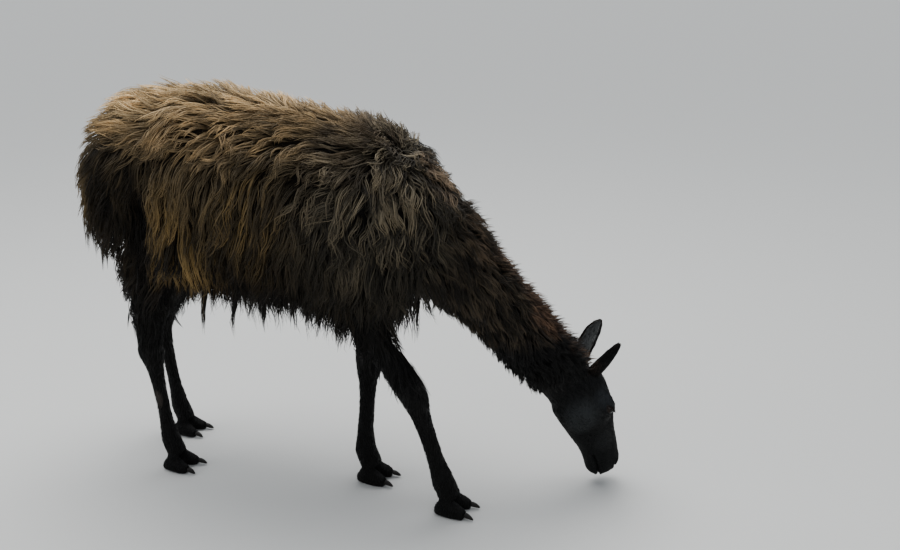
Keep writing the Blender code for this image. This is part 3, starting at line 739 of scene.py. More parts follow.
ear_lining, tree, shader = surface("ear_lining", 0.6)
grain = grouped(tree, short_hair, "Grain", Scale=380.0)
feed(shader, "Base Color", ramp(tree, grain, [(0.30, (0.040, 0.042, 0.042)), (0.70, (0.120, 0.125, 0.122))]))
bumped(tree, shader, grain, 0.5, 0.002)
hide_mesh.materials.append(hide_coat)
hide_mesh.materials.append(ear_lining)
hide_places = get_places(hide_mesh)
NECK_FROM = 0.27             # the neck's hide lies ahead of this x, and this near its middle line
NECK_GIRTH = 0.125
share, out = neck_share(hide_places)
on_neck = (hide_places[:, 0] > NECK_FROM) & (np.linalg.norm(out, axis=1) < NECK_GIRTH)
keep_values(hide_mesh, "under_wool", np.where(on_neck, np.interp(share, [0.86, 0.98], [1, 0]),
                                              np.interp(hide_places[:, 2], [0.46, 0.54], [0, 1])))
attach(hide, "root")
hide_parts(*[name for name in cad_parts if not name.startswith(("eye_", "nail_"))])


# ---- coat -------------------------------------------------------------------------
# Long wool on trunk, neck and tail, short hair on head and legs. Every tuft is a
# solid tapering strand; strands gather into wavy locks that hang one over another.
hide_mesh.calc_loop_triangles()
corner = np.empty(len(hide_mesh.loop_triangles) * 3, np.int32)
hide_mesh.loop_triangles.foreach_get("vertices", corner)
corner = corner.reshape(-1, 3)
hide_tree = BVHTree.FromPolygons(hide_places.tolist(), corner.tolist())
outline_places, outline_faces = [], []
for name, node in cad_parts.items():
    if not name.startswith(("eye_", "nail_")):
        first = len(outline_places)
        outline_places += get_places(node.data).tolist()
        outline_faces += [[first + i for i in face.vertices] for face in node.data.polygons]
outline_tree = BVHTree.FromPolygons(outline_places, outline_faces)
a, b, c = (hide_places[corner[:, i]] for i in range(3))
patch_normal = np.cross(b - a, c - a)
patch_area = np.linalg.norm(patch_normal, axis=1) / 2 + 1e-12
patch_normal /= 2 * patch_area[:, None]
patch_middle = (a + b + c) / 3
patch_share, patch_out = neck_share(patch_middle)
patch_face = to_face(patch_middle)
x, y, z = patch_middle.T
ear_flags = np.empty(len(hide_places), np.float32)
hide_mesh.attributes["is_ear"].data.foreach_get("value", ear_flags)
is_ear = ear_flags[corner].max(1) > 0.5
near_face = np.linalg.norm(patch_face - (0.15, -0.03, 0), axis=1) < 0.25
is_head = ~is_ear & (patch_face[:, 0] > -0.01) & (patch_share > 0.93) & near_face
near_neck = (np.linalg.norm(patch_out, axis=1) < NECK_GIRTH) & (x > NECK_FROM)
is_neck = ~is_ear & ~is_head & (patch_share > 0.18) & near_neck
is_body = ~is_ear & ~is_head & ~is_neck
is_leg = is_body & (z < 0.50)
is_trunk = is_body & ~is_leg
is_tail = is_trunk & (x < -0.668) & (np.abs(y - SPINE_Y) < 0.035) & (z < 0.96)


def dot(one, other):
    return np.einsum("ij,ij->i", one, other)


def along_skin(way, ups, share=1.0):
    """A way with what leads it off the skin taken out."""
    return way - ups * (dot(way, ups) * share)[:, None]


def wander(points, scale, seed):
    """A smooth number between -1 and 1 that drifts over space."""
    draw = np.random.default_rng(seed)
    waves = draw.normal(size=(5, 3)) * scale
    shift = draw.uniform(0, 6.28, 5)
    return np.sin(points @ waves.T + shift).sum(-1) / 3.2


def roots_on(patches, weight, count, draw):
    """Random places on chosen patches of hide, with the hide's normal there."""
    chance = patch_area * patches * weight
    pick = draw.choice(len(chance), count, p=chance / chance.sum())
    mixing = draw.dirichlet((1, 1, 1), count)
    return np.einsum("ij,ijk->ik", mixing, hide_places[corner[pick]]), patch_normal[pick]


def nearest_hide(points):
    found = [hide_tree.find_nearest(point) for point in points.tolist()]
    return np.array([f[0][:] for f in found]), np.array([f[1][:] for f in found])


def coat_depth(points, normals, most):
    """How far the coat's outline stands off the hide."""
    depths = []
    for point, normal in zip((points + normals * 0.0005).tolist(), normals.tolist()):
        hit = outline_tree.ray_cast(point, normal, most)
        depths.append(most if hit[0] is None else hit[3])
    return np.array(depths)


MOST_SINK, MOST_RISE = 0.012, 0.030        # of a strand's next point, towards the depth it should have


def grow(roots, normals, lengths, steps, flow, rise, depth, free=-0.25):
    """Guide strands that run with the lie of the coat and hang where it lets them."""
    path, ups = [roots], [normals]
    place, up = roots.copy(), normals.copy()
    for k in range(1, steps):
        share = k / (steps - 1)
        place = place + unit(flow(place, up, share)) * (lengths / (steps - 1))[:, None]
        foot, foot_up = nearest_hide(place)
        height = dot(place - foot, foot_up)
        wanted = depth(foot, foot_up) * rise(share)
        hangs = (foot_up[:, 2] < free) & (height > wanted)
        lift = np.clip(wanted - height, -MOST_SINK, MOST_RISE) * np.where(hangs, 0.0, 0.8)
        place = place + foot_up * lift[:, None]
        up = foot_up
        path.append(place)
        ups.append(up)
    path = np.stack(path, 1)
    for _ in range(2 if steps > 3 else 0):
        path[:, 1:-1] = path[:, 1:-1] * 0.5 + (path[:, :-2] + path[:, 2:]) * 0.25
    return path, np.stack(ups, 1)


def gather(paths, roots, clumps, strength):
    """Draw neighbouring guides together towards their tips, as wool clumps."""
    leaders = paths[:clumps]
    gaps = np.linalg.norm(roots[:, None] - roots[None, :clumps], axis=2)
    leader = gaps.argmin(1)
    share = np.linspace(0, 1, paths.shape[1])[None, :, None]
    return paths + (leaders[leader] - paths) * strength * share ** 1.3, leader


def split_locks(paths, ups, leader, strands, spread_root, spread_tip, wave, wavelength, draw):
    """Each guide becomes a lock of strands that wave and close in at the tip."""
    count, steps, _ = paths.shape
    run = unit(np.gradient(paths, axis=1))
    side = unit(np.cross(run, ups))
    share = np.linspace(0, 1, steps)
    length = np.linalg.norm(np.diff(paths, axis=1), axis=2).sum(1)
    offset = draw.normal(size=(count, strands, 2)) * (0.62, 0.40)
    gap = spread_root + (spread_tip - spread_root) * share
    phase = draw.uniform(0, 6.28, (count, 1, 1))[leader] + draw.normal(size=(count, strands, 1)) * 0.50
    pitch = 6.28 * length[:, None, None] / (wavelength * draw.uniform(0.8, 1.5, (count, 1, 1))[leader])
    swing = np.sin(phase + pitch * share) * wave * draw.uniform(0.3, 1.6, (count, 1, 1))[leader]
    swing *= 0.25 + 0.75 * share
    bob = np.cos(phase * 1.3 + pitch * share) * wave * 0.55 * share
    shift = (side[:, None] * (offset[..., 0, None] * gap + swing)[..., None]
             + ups[:, None] * (offset[..., 1, None] * gap + bob)[..., None])
    shift[:, :, 0] *= 0.9
    trim = draw.uniform(0.72, 1.0, (count, strands, 1))
    at = np.clip(trim * (steps - 1) * share, 0, steps - 1.0001)
    low = at.astype(int)
    part = (at - low)[..., None]
    which = np.arange(count)[:, None, None]
    locks = paths[which, low] * (1 - part) + paths[which, low + 1] * part + shift
    return locks.reshape(-1, steps, 3), np.repeat(ups, strands, 0)


HAIR_OFF_FLOOR = 0.0006
TUFT_PATCH = 0.0026          # size of each strand's own patch on the unwrap


def tufts(name, paths, ups, width, tone, chart, material, flat=0.6):
    """One joined mesh of solid tapering strands, three-sided, closed at both ends.

    The chart holds the unrolled places of the roots, one for each lock, and is
    fitted into the unit square.
    """
    count, steps, _ = paths.shape
    run = unit(np.gradient(paths, axis=1))
    side = unit(np.cross(run, ups))
    high = np.cross(side, run)
    share = np.linspace(0, 1, steps)
    girth = width[:, None] * (0.55 + 0.45 * np.sin(np.minimum(share * 2.2, 1) * 1.57)) * (1 - share ** 2.4)
    turns = np.radians([90, 210, 330])
    rim = np.cos(turns)[:, None] * side[:, :-1, None] + np.sin(turns)[:, None] * high[:, :-1, None] * flat
    rim = paths[:, :-1, None] + rim * girth[:, :-1, None, None]
    points = np.concatenate([rim.reshape(count, -1, 3), paths[:, -1:]], 1)
    points[..., 2] = np.maximum(points[..., 2], HAIR_OFF_FLOOR)
    each = points.shape[1]
    quads, tips, last = [], [], each - 1
    patch = []
    for k in range(steps - 2):
        for j in range(3):
            n = (j + 1) % 3
            quads.append((3 * k + j, 3 * k + 3 + j, 3 * k + 3 + n, 3 * k + n))
            patch += [(j, k), (j, k + 1), (j + 1, k + 1), (j + 1, k)]
    k = steps - 2
    for j in range(3):
        tips.append((3 * k + j, last, 3 * k + (j + 1) % 3))
        patch += [(j, k), (j + 0.5, k + 1), (j + 1, k)]
    tips.append((0, 1, 2))
    patch += [(0, 0), (1.5, -0.4), (3, 0)]
    loops = np.concatenate([np.array(quads).ravel(), np.array(tips).ravel()])
    sizes = [4] * len(quads) + [3] * len(tips)
    starts = np.concatenate([[0], np.cumsum(sizes)[:-1]])
    mesh = bpy.data.meshes.new(name)
    mesh.vertices.add(count * each)
    mesh.vertices.foreach_set("co", points.ravel())
    mesh.loops.add(count * len(loops))
    mesh.loops.foreach_set("vertex_index", (loops[None] + np.arange(count)[:, None] * each).ravel())
    mesh.polygons.add(count * len(sizes))
    mesh.polygons.foreach_set("loop_start", (starts[None] + np.arange(count)[:, None] * len(loops)).ravel())
    mesh.update(calc_edges=True)
    mesh.shade_smooth()
    patch = np.array(patch, float) / (3, steps - 1) * TUFT_PATCH
    low, high = chart.min(0), chart.max(0)
    place_uv = np.repeat(0.004 + (chart - low) / (high - low) * 0.988, count // len(chart), 0)
    unwrap = mesh.uv_layers.new(name="OFBake")
    unwrap.data.foreach_set("uv", (place_uv[:, None] + patch[None]).ravel())
    keep_values(mesh, "tone", np.repeat(tone, each))
    keep_values(mesh, "along", np.tile(np.append(np.repeat(share[:-1], 3), 1), count))
    mesh.materials.append(material)
    thing = placed(name, mesh)
    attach(thing, "root")


def round_trunk(points):
    """The trunk's hide unrolled: along the back, and round it."""
    return np.stack([points[:, 0], np.arctan2(points[:, 1] - SPINE_Y, points[:, 2] - 0.84)], 1)


def round_neck(points):
    share, out = neck_share(points)
    _, _, side, crest = neck_axis(share)
    return np.stack([share, np.arctan2(dot(out, side), dot(out, crest))], 1)


def coat_material(name, roughness, tip_bleach, contrast, specular):
    """Wool or hair: the markings, each strand its own tone, darker towards its root with painted shade and
    paler at its tip.
    """
    material, tree, shader = surface(name, roughness, specular)
    tone = kept_value(tree, "tone")
    marks = grouped(tree, markings, "Color", Tone=tone)
    light = (1 + contrast * 1.6, 1 + contrast * 1.45, 1 + contrast * 1.2)
    toned = tinted(tree, marks, tone, [(0.0, (1 - contrast,) * 3), (0.5, (1, 1, 1)), (1.0, light)])
    bleach = (1 + tip_bleach, 1 + tip_bleach * 0.8, 1 + tip_bleach * 0.5)
    # painted shade deep in the coat towards the root; the tip sun-bleached
    feed(shader, "Base Color", tinted(tree, toned, kept_value(tree, "along"), [
        (0.0, (0.50, 0.48, 0.46)), (0.45, (0.95, 0.93, 0.90)), (1.0, bleach)]))
    return material


# Wool of the trunk: staples as long as a hand, swept back along the spine and
# hanging down the sides in S-shaped locks that gather into ragged points.
wool = coat_material("fleece_wool", 0.60, 0.50, 0.55, 0.18)


def trunk_flow(places, ups, share):
    top = np.clip((ups[:, 2] - 0.25) / 0.6, 0, 1)
    aft = np.interp(places[:, 0], [0.10, 0.26], [1.0, -0.55])
    parting = SPINE_Y + 0.045 * np.clip(1 - np.abs(aft), 0, 1) + 0.03 * wander(places, 14, 3)
    away = np.tanh((places[:, 1] - parting) / 0.05)
    way = unit(np.stack([(-0.16 - 0.75 * top) * aft, 0.46 * top * away, -1 + 0.9 * top], 1))
    turn = wander(places, 11, 5) * (0.34 + 0.16 * top) + wander(places, 34, 6) * 0.20
    way = way + np.cross(ups, way) * turn[:, None]
    hangs = np.clip((-0.05 - ups[:, 2]) / 0.3, 0, 1)[:, None]
    return unit(along_skin(way, ups)) * (1 - hangs) + np.array([-0.05, 0, -1]) * hangs


def valley(places):
    """The fold where the flank's blanket overhangs the thigh, which the wool darkens with painted shade, and
    the blanket's edge.
    """
    fold = np.interp(places[:, 2], [0.60, 0.72, 0.85, 1.06], [-0.475, -0.470, -0.445, -0.375])
    fades = np.clip((1.06 - places[:, 2]) / 0.2, 0, 1)
    return gauss(places[:, 0] - fold, 0.030) * fades, gauss(places[:, 0] - fold - 0.062, 0.032) * fades


def fleece(name, patches, guides, length, seed, flow, chart, material, slot, strands=5, steps=7,
           wave=0.0095, lock=0.012, width=0.0021, most=0.10, clump=0.58, layers=(0.58, 1.16),
           by_place=None, stray=0.20):
    """A piece of long wool: guides over its patches, clumped, and split into locks."""
    draw = np.random.default_rng(seed)
    roots, normals = roots_on(patches, 1.0, guides, draw)
    lengths = length * draw.uniform(0.70, 1.30, guides)
    if by_place:
        lengths *= by_place(roots)
    layer = draw.uniform(*layers, guides)
    fold, edge = valley(roots)
    inner = layer * (1 - 0.80 * fold + 0.30 * edge)
    strays = draw.normal(size=(guides, 3)) * stray
    paths, ups = grow(roots, normals, lengths, steps, lambda *at: flow(*at) + strays,
                      lambda share: share ** 0.55,
                      lambda foot, foot_up: coat_depth(foot, foot_up, most) * inner)
    paths, leader = gather(paths, roots, guides // 6, clump)
    tone = 0.5 + 0.16 * draw.normal(size=guides) + 0.20 * draw.normal(size=guides)[leader]
    # painted shade and light: locks that lie deeper, and those in the fold, are darker; those that stand
    # further out, as along the blanket's edge, are lighter
    tone += 0.25 * (layer - np.mean(layers)) - 0.35 * fold + 0.16 * edge
    wavelength = max(0.055, 4.4 * length / (steps - 1))
    locks, up = split_locks(paths, ups, leader, strands, lock, lock * 0.33, wave, wavelength, draw)
    tone = np.clip(np.repeat(tone, strands) + draw.normal(size=len(locks)) * 0.12, 0, 1)
    girth = width * draw.uniform(0.65, 1.30, len(locks))
    tufts(name, locks, up, girth, tone, chart(roots), material)


on_top = patch_normal[:, 2] > 0.42
on_side = is_trunk & ~on_top & (x > -0.50) & (x < 0.14) & (z > 0.62)
FLEECES = {
    # patches, guides, length, the seed of its draws, slot, and how it differs
    "fleece_back": (is_trunk & on_top & (x > -0.56) & (x < 0.20), 1150, 0.100, 11, "trunk_barrel",
                    {"layers": (0.66, 1.18), "stray": 0.34, "clump": 0.36, "wave": 0.0062}),
    "fleece_right": (on_side & (y < SPINE_Y), 940, 0.138, 12, "trunk_barrel", {}),
    "fleece_left": (on_side & (y >= SPINE_Y), 700, 0.138, 13, "trunk_barrel", {}),
    "fleece_rump": (is_trunk & (x < -0.47) & (z > 0.56), 770, 0.118, 14, "trunk_hips",
                    {"stray": 0.26, "wave": 0.0070}),
    "fleece_shoulders": (is_trunk & (x > 0.11) & (z > 0.60), 890, 0.120, 15, "trunk_barrel", {}),
    "fleece_belly": (is_trunk & (z < 0.66) & (patch_normal[:, 2] < -0.1), 330, 0.085, 16, "trunk_barrel", {}),
    "fleece_limbs": (is_body & (z > 0.42) & (z < 0.62) & (patch_normal[:, 2] > -0.45), 500, 0.085, 18,
                     "leg_hind_right_upper", {"steps": 5, "wave": 0.0035, "lock": 0.009, "width": 0.0018,
                                              "most": 0.022, "clump": 0.25}),
}
for name, (patches, guides, length, seed, slot, differs) in FLEECES.items():
    fleece(name, patches, guides, length, seed, trunk_flow, round_trunk, wool, slot, **differs)

WHORL = (0.195, 0.025)       # where the wool of back, shoulders and neck parts, on top of the withers


def tousled_flow(places, ups, share):
    core = gauss(np.linalg.norm(places[:, :2] - WHORL, axis=1), 0.075)
    return trunk_flow(places, ups, share) * (1 - core)[:, None]


withers = (is_trunk | is_neck) & (z > 0.85) & (np.hypot(x - WHORL[0], y - WHORL[1]) < 0.105)
fleece("fleece_withers", withers, 330, 0.085, 20, tousled_flow, round_trunk, wool, "trunk_barrel",
       steps=6, layers=(0.70, 1.20), stray=0.50)

# A few locks have come loose from the blanket and dangle below its edge.
DANGLING = [
    (-0.300, -0.175, 0.480), (-0.213, -0.180, 0.468), (-0.120, -0.180, 0.505), (-0.037, -0.180, 0.530),
    (0.104, -0.170, 0.498), (-0.668, -0.085, 0.585), (-0.240, 0.165, 0.505), (-0.060, 0.165, 0.500),
    (-0.360, 0.160, 0.520), (0.060, 0.155, 0.510),
]
DANGLING_LENGTH = 0.150
DANGLING_STRANDS = 14
draw = np.random.default_rng(19)
tips = np.repeat(np.array(DANGLING), 2, 0) + draw.normal(size=(2 * len(DANGLING), 3)) * (0.012, 0.006, 0.010)
roots, _ = nearest_hide(tips + (0, 0, DANGLING_LENGTH))
at = np.linspace(0, 1, 8)[None, :, None]
paths = roots[:, None] * (1 - at) + tips[:, None] * at
paths[:, :, :2] += (tips - roots)[:, None, :2] * (np.sin(at * math.pi / 2) - at)
ups = np.repeat(np.broadcast_to((0.0, 1.0, 0.0), tips.shape)[:, None], 8, 1)
locks, up = split_locks(paths, ups, np.arange(len(paths)), DANGLING_STRANDS,
                        0.009, 0.0025, 0.0050, 0.060, draw)
tone = np.clip(0.45 + 0.2 * draw.normal(size=len(locks)), 0, 1)
tufts("fleece_dangling", locks, up, 0.0019 * draw.uniform(0.7, 1.3, len(locks)), tone,
      round_trunk(roots), wool)


def tail_flow(places, ups, share):
    return np.array([-0.22 + 0.25 * share, 0, -1.0]) + ups * 0.25 * (1 - share)


fleece("fleece_tail", is_tail, 200, 0.13, 17, tail_flow, round_trunk, wool, "tail",
       strands=6, steps=6, most=0.06)


# ---- neck wool -------------------------------------------------------------------
# Shorter, darker wool that runs down the neck, hangs loose beneath it, and stands
# up along the top in a ragged crest with rusty points.
neck_wool = coat_material("neck_wool", 0.54, 0.45, 0.50, 0.20)


def neck_flow(places, ups, share):
    along, _ = neck_share(places)
    run = neck_axis(along)[1]
    turn = wander(places, 20, 21) * 0.35 + wander(places, 60, 22) * 0.25
    way = run * 0.70 + np.array([0, 0, -0.60]) + np.cross(ups, run) * turn[:, None]
    looseness = np.interp(along, [0.25, 0.50], [0.60, 0.15])
    hangs = (np.clip((-0.20 - ups[:, 2]) / 0.3, 0, 1) * looseness)[:, None]
    return unit(along_skin(way, ups)) * (1 - hangs) + np.array([0.05, 0, -1]) * hangs


def neck_length(points):
    """The wool grows shorter towards the poll, and shortest along the throat."""
    share, out = neck_share(points)
    throat = np.clip(-1.6 * unit(out)[:, 2], 0, 1) * np.clip((share - 0.25) / 0.2, 0, 1)
    return np.interp(share, [0.2, 0.6, 0.95], [1.10, 0.90, 0.50]) * (1 - 0.42 * throat)


leftward = dot(patch_out, neck_axis(patch_share)[2])
for name, on_side, seed in (("neck_wool_right", -1, 31), ("neck_wool_left", 1, 32)):
    fleece(name, is_neck & (leftward * on_side > -0.004), 1010, 0.068, seed, neck_flow, round_neck, neck_wool,
           "neck_upper", steps=5, wave=0.0038, lock=0.009, width=0.0018, most=0.05, clump=0.28,
           by_place=neck_length)

CREST_TUFTS = 680
CREST_STRANDS = 3
CREST_HEIGHT = 0.046
draw = np.random.default_rng(33)
share = draw.uniform(0.16, 1.02, CREST_TUFTS)
middle, run, side, crest = neck_axis(share)
turn = draw.normal(size=CREST_TUFTS) * 0.30
out = crest * np.cos(turn)[:, None] + side * np.sin(turn)[:, None]
roots, _ = nearest_hide(middle + out * 0.08)
clump = np.round(share * 70) / 70 + wander(middle, 90, 34) * 0.004
lean = wander(np.stack([clump * 40, turn * 2, clump], 1), 1.0, 35)
way = unit(out + run * (0.30 + 0.35 * lean)[:, None] + draw.normal(size=(CREST_TUFTS, 3)) * 0.12)
reach = CREST_HEIGHT * draw.uniform(0.6, 1.15, CREST_TUFTS)
reach *= np.interp(share, [0.16, 0.4, 0.9, 1.02], [1.1, 0.95, 1.0, 0.6])
at = np.linspace(0, 1, 5)[:, None]
paths = roots[:, None] + way[:, None] * at * reach[:, None, None]
paths += run[:, None] * at ** 2 * (reach * 0.35)[:, None, None]
locks, up = split_locks(paths, np.repeat(-run[:, None], 5, 1), np.arange(CREST_TUFTS), CREST_STRANDS,
                        0.006, 0.002, 0.0025, 0.040, draw)
tone = np.clip(np.repeat(0.55 + 0.3 * lean, CREST_STRANDS) + draw.normal(size=len(locks)) * 0.15, 0, 1)
tufts("neck_crest", locks, up, 0.0017 * draw.uniform(0.7, 1.3, len(locks)), tone, round_neck(roots),
      neck_wool)


# ---- short hair of head, ears and legs -----------------------------------------
# Flat glossy hair, drawn by the hide's grain, with real tufts all over that break
# the form: finest on nose and feet, longer on cheeks, crown, elbows and thighs.
short_coat = coat_material("short_hair", 0.48, 0.30, 0.35, 0.16)


def short_fur(name, patches, count, steps, lengths, seed, flow, height, chart, width, weight=1.0):
    """Flat short tufts over patches of hide, one strand each."""
    draw = np.random.default_rng(seed)
    roots, normals = roots_on(patches, weight, count, draw)
    length = lengths(roots) * draw.uniform(0.7, 1.3, count)
    lift = height(roots) * draw.uniform(0.5, 1.2, count)
    paths, ups = grow(roots - normals * 0.0006, normals, length, steps, flow, lambda share: share,
                      lambda foot, foot_up: lift, free=-2)
    tone = np.clip(0.5 + 0.25 * draw.normal(size=count) + 0.2 * wander(roots, 50, seed), 0, 1)
    girth = width * draw.uniform(0.7, 1.3, count)
    tufts(name, paths, ups, girth, tone, chart(roots), short_coat, flat=0.45)


def face_flow(places, ups, share):
    face = to_face(places)
    back = np.interp(face[:, 0], [0.0, 0.10, 0.2], [0.9, 0.5, 0.15])
    way = (-FACE_AXES[0] - np.outer(back * np.clip(-face[:, 1] / 0.05, -1, 1), FACE_AXES[1])
           + np.outer(np.sign(face[:, 2]) * 0.15, FACE_AXES[2]))
    return along_skin(way + np.cross(ups, way) * (wander(places, 45, 41) * 0.25)[:, None], ups)


def round_head(points):
    face = to_face(points)
    return np.stack([face[:, 0], np.arctan2(face[:, 2], face[:, 1] + 0.03)], 1)


def hair_on_head(points):
    return np.interp(to_face(points)[:, 0], [-0.02, 0.03, 0.10, 0.22, 0.34],
                     [0.026, 0.020, 0.012, 0.008, 0.005])


BARE_ROUND_EYES = 0.0205     # from the middle of the ball
BARE_BY_LINES = 0.0050


def clear_of_face_holes(points):
    """Where short hair can root: away from the lids, nostrils, mouth and lip cleft."""
    face = to_face(points)
    face[:, 2] = np.abs(face[:, 2])
    to_eye = np.min([np.linalg.norm(points - place, axis=1) for place in eye_places.values()], axis=0)
    to_lines = np.min([line_gap(face, NOSTRIL) - 0.004, line_gap(face, MOUTH), line_gap(face, LIP_CLEFT)], 0)
    return (to_eye > BARE_ROUND_EYES) & (to_lines > BARE_BY_LINES)


short_fur("head_hair", is_head & clear_of_face_holes(patch_middle), 9600, 3, hair_on_head, 42, face_flow,
          lambda points: hair_on_head(points) * 0.11 + 0.0004, round_head, 0.0007,
          weight=hair_on_head(patch_middle) ** -1.1)


def leg_flow(places, ups, share):
    way = np.array([-0.12, 0, -1.0]) + np.cross(ups, (0, 0, 1)) * (wander(places, 30, 51) * 0.20)[:, None]
    return along_skin(way, ups, 0.9)


def hair_on_legs(points):
    return np.interp(points[:, 2], [0.02, 0.08, 0.30, 0.42, 0.50], [0.007, 0.013, 0.019, 0.034, 0.060])


def round_leg(points):
    """Each leg's hide unrolled, the four charts side by side."""
    centre = np.array([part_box("leg_" + leg + "_lower") for leg in LIMB_ROOTS]).mean(1)
    which = np.argmin(np.linalg.norm(points[:, None, :2] - centre[None, :, :2], axis=2), axis=1)
    arm = points[:, :2] - centre[which, :2]
    return np.stack([which * 7.0 + np.arctan2(arm[:, 1], arm[:, 0]), points[:, 2]], 1)


for pair, patches, seed in (("fore", x > -0.1, 52), ("hind", x < -0.1, 53)):
    short_fur(pair + "_leg_hair", is_leg & patches & (z > 0.006), 6600, 3, hair_on_legs, seed, leg_flow,
              lambda points: hair_on_legs(points) * 0.13 + 0.0008, round_leg, 0.0012,
              weight=hair_on_legs(patch_middle) ** -0.8)

EAR_HAIR = 0.010
EAR_FURS = [
    # name, on the inner face, tufts, on the rim
    ("ear_hair_", 0, 1000, 0),
    ("ear_fringe_", 1, 340, 0),
    ("ear_rim_", 1, 260, 1),
]
for label, (side, seat, lean, bow) in EARS.items():
    for name, inside, count, edge in EAR_FURS:
        draw = np.random.default_rng(60 + side + 5 * inside + 10 * edge)
        along = draw.uniform(0.10, 0.93, count)
        if edge:
            angle = draw.uniform(0.72, 1.0, count) * draw.choice([-1, 1], count)
        else:
            angle = draw.uniform(-0.9, 0.9, count)
        length = EAR_HAIR * draw.uniform(0.6, 1.3, count) * (1 + 0.6 * inside)
        paths, ups = [], []
        for share in (0.0, 0.5, 1.0):
            at = np.minimum(along + share * length / EAR_LENGTH, 1.0)
            lift = 0.0030 + 0.0045 * share if inside else -0.0004 - 0.0016 * share
            points, out = ear_shape(side, seat, lean, bow, at, angle * (1 + 0.03 * share), lift)
            paths.append(points)
            ups.append(-out if inside else out)
        tone = np.clip(0.5 + 0.25 * draw.normal(size=count), 0, 1)
        tufts(name + label, np.stack(paths, 1), np.stack(ups, 1), 0.0007 * draw.uniform(0.7, 1.3, count),
              tone, np.stack([along, angle], 1), ear_lining if inside and not edge else short_coat,
              flat=0.45)


# ---- eyes ---------------------------------------------------------------------------
# Large wet dark balls set to the sides of the skull, each with a brown iris, a
# long level pupil and a clear bulging front.
eye_gloss, tree, shader = surface("eye_gloss", 0.09, 0.14)
ball_colour = ramp(tree, kept_value(tree, "iris"), [
    (0.0, (0.009, 0.006, 0.005)), (0.35, (0.0025, 0.002, 0.0015)),
    (0.6, (0.014, 0.008, 0.005)), (1.0, (0.009, 0.005, 0.003)),
])
feed(shader, "Base Color", tinted(tree, ball_colour, kept_value(tree, "pupil"), [
    (0.35, (1, 1, 1)), (0.65, (0.05, 0.05, 0.06))]))
IRIS_REACH, IRIS_SOFTNESS = 0.66, 0.18     # all in radii of the ball, off the line of sight
PUPIL_LONG, PUPIL_HIGH = 0.36, 0.17
CORNEA_REACH, CORNEA_BULGE = 0.62, 0.075
BALL_STEPS = 48              # from front to back, and a third more round it
LASHES = 46
LASH_LENGTH = 0.010
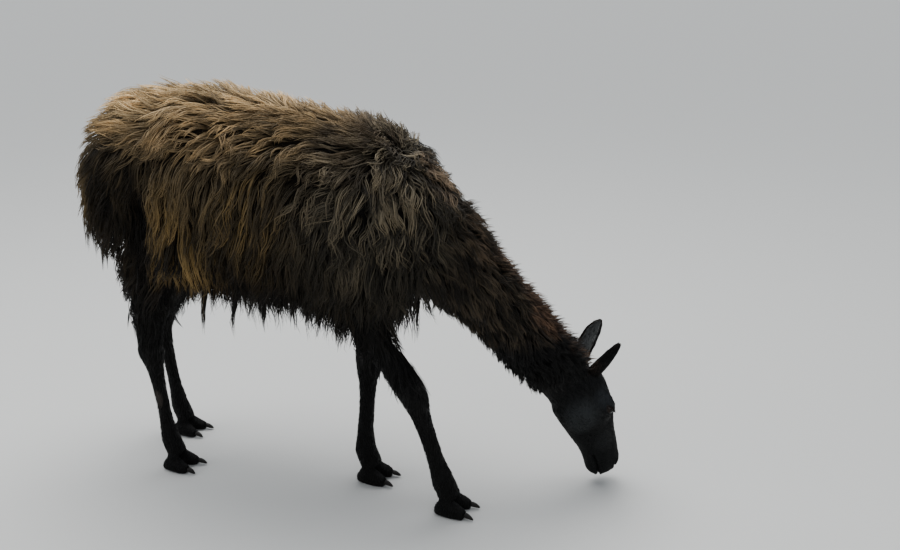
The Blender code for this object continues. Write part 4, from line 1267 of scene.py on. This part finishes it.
for label, sign in (("left", 1), ("right", -1)):
    ball = bmesh.new()
    rings = []
    for turn in np.linspace(0, math.pi, BALL_STEPS + 1)[1:-1]:
        radius = math.sin(turn)
        rings.append(ring((0, 0, math.cos(turn)), (1, 0, 0), (0, 1, 0), radius, radius, radius,
                          BALL_STEPS * 4 // 3))
    loft(ball, rings)
    gaze = unit(np.array([0.12, 0.10, sign]) @ FACE_AXES)
    slit = np.array([*SLIT_RUN, 0]) @ FACE_AXES
    level = unit(slit - gaze * (slit @ gaze))
    upward = np.cross(gaze, level)
    iris, pupil = [], []
    for vert in ball.verts:
        local = vert.co.normalized()
        off = math.hypot(local.x, local.y)
        front = local.z > 0
        bulge = 1 + CORNEA_BULGE * max(0, 1 - (off / CORNEA_REACH) ** 2) * front
        iris.append(min(1, max(0, (IRIS_REACH - off) / IRIS_SOFTNESS)) * front)
        off_pupil = math.hypot(local.x / PUPIL_LONG, local.y / PUPIL_HIGH)
        pupil.append(min(1, max(0, 1.5 - off_pupil)) * front)
        reach = EYE_RADIUS * 0.985 * bulge
        point = np.array(eye_places[label]) + (level * local.x + upward * local.y + gaze * local.z) * reach
        vert.co = Vector(point)
    bmesh.ops.recalc_face_normals(ball, faces=ball.faces)
    mesh = bpy.data.meshes.new("eyeball_" + label)
    ball.to_mesh(mesh)
    ball.free()
    mesh.shade_smooth()
    keep_values(mesh, "iris", iris)
    keep_values(mesh, "pupil", pupil)
    mesh.materials.append(eye_gloss)
    eye = placed("eyeball_" + label, mesh)
    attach(eye, "root")
    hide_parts("eye_" + label)

    # lashes fan out from under the brow side of the opening
    draw = np.random.default_rng(70 + sign)
    at = draw.uniform(-0.76, 0.72, LASHES)
    high = SLIT_HIGH * (1 - SLIT_NARROWS * at ** 2) * np.sqrt(1 - (at / SLIT_LONG) ** 2)
    long_run, high_run = SLIT_RUN
    rim = np.stack([long_run * at - high_run * high, high_run * at + long_run * high,
                    sign * np.sqrt(1 - at ** 2 - high ** 2)], 1)
    roots = np.array(eye_places[label]) + rim @ FACE_AXES * (EYE_RADIUS + LID_THICKNESS * 0.3)
    reach = LASH_LENGTH * draw.uniform(0.7, 1.2, LASHES)[:, None]
    brow = FACE_AXES[1]
    way = unit(gaze * 0.90 + brow * 0.35 + np.outer(at, level) * 0.45 + draw.normal(size=(LASHES, 3)) * 0.10)
    paths = np.stack([roots + way * reach * t - brow * reach * 0.30 * t * t for t in (0, 0.33, 0.67, 1)], 1)
    ups = np.repeat(np.broadcast_to(upward, (LASHES, 3))[:, None], 4, 1)
    tufts("lashes_" + label, paths, ups, np.full(LASHES, 0.00045), draw.uniform(0.1, 0.5, LASHES),
          np.stack([at, reach[:, 0] * 10], 1), short_coat, flat=0.8)


# ---- toenails ----------------------------------------------------------------------
# Two horn claws to a foot, curved and blunt, and ridged along their length.
horn, tree, shader = surface("nail_horn", 0.55, 0.20)
place = shader_node(tree, "TexCoord", "Object")
stretch = shader_node(tree, "Mapping", "Vector", Vector=place, Scale=(0.25, 1, 1))
ridges = shader_node(tree, "TexNoise", "Fac", Vector=stretch, Scale=260.0, Detail=3.0, Roughness=0.6)
feed(shader, "Base Color", ramp(tree, ridges, [
    (0.30, (0.0045, 0.0040, 0.0036)), (0.55, (0.009, 0.008, 0.0065)), (0.80, (0.026, 0.022, 0.018))]))
bumped(tree, shader, ridges, 0.5, 0.001)
for name in [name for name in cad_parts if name.startswith("nail_")]:
    claw = bmesh.new()
    claw.from_mesh(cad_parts[name].data)
    bmesh.ops.remove_doubles(claw, verts=claw.verts, dist=WELD)
    mesh = bpy.data.meshes.new("claw" + name[4:])
    claw.to_mesh(mesh)
    claw.free()
    thing = placed("claw" + name[4:], mesh)
    fine = thing.modifiers.new("fine", "SUBSURF")
    fine.levels = fine.render_levels = 3
    mesh = evaluated(thing)
    mesh.shade_smooth()
    mesh.materials.clear()
    mesh.materials.append(horn)
    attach(thing, "root")
    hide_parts(name)
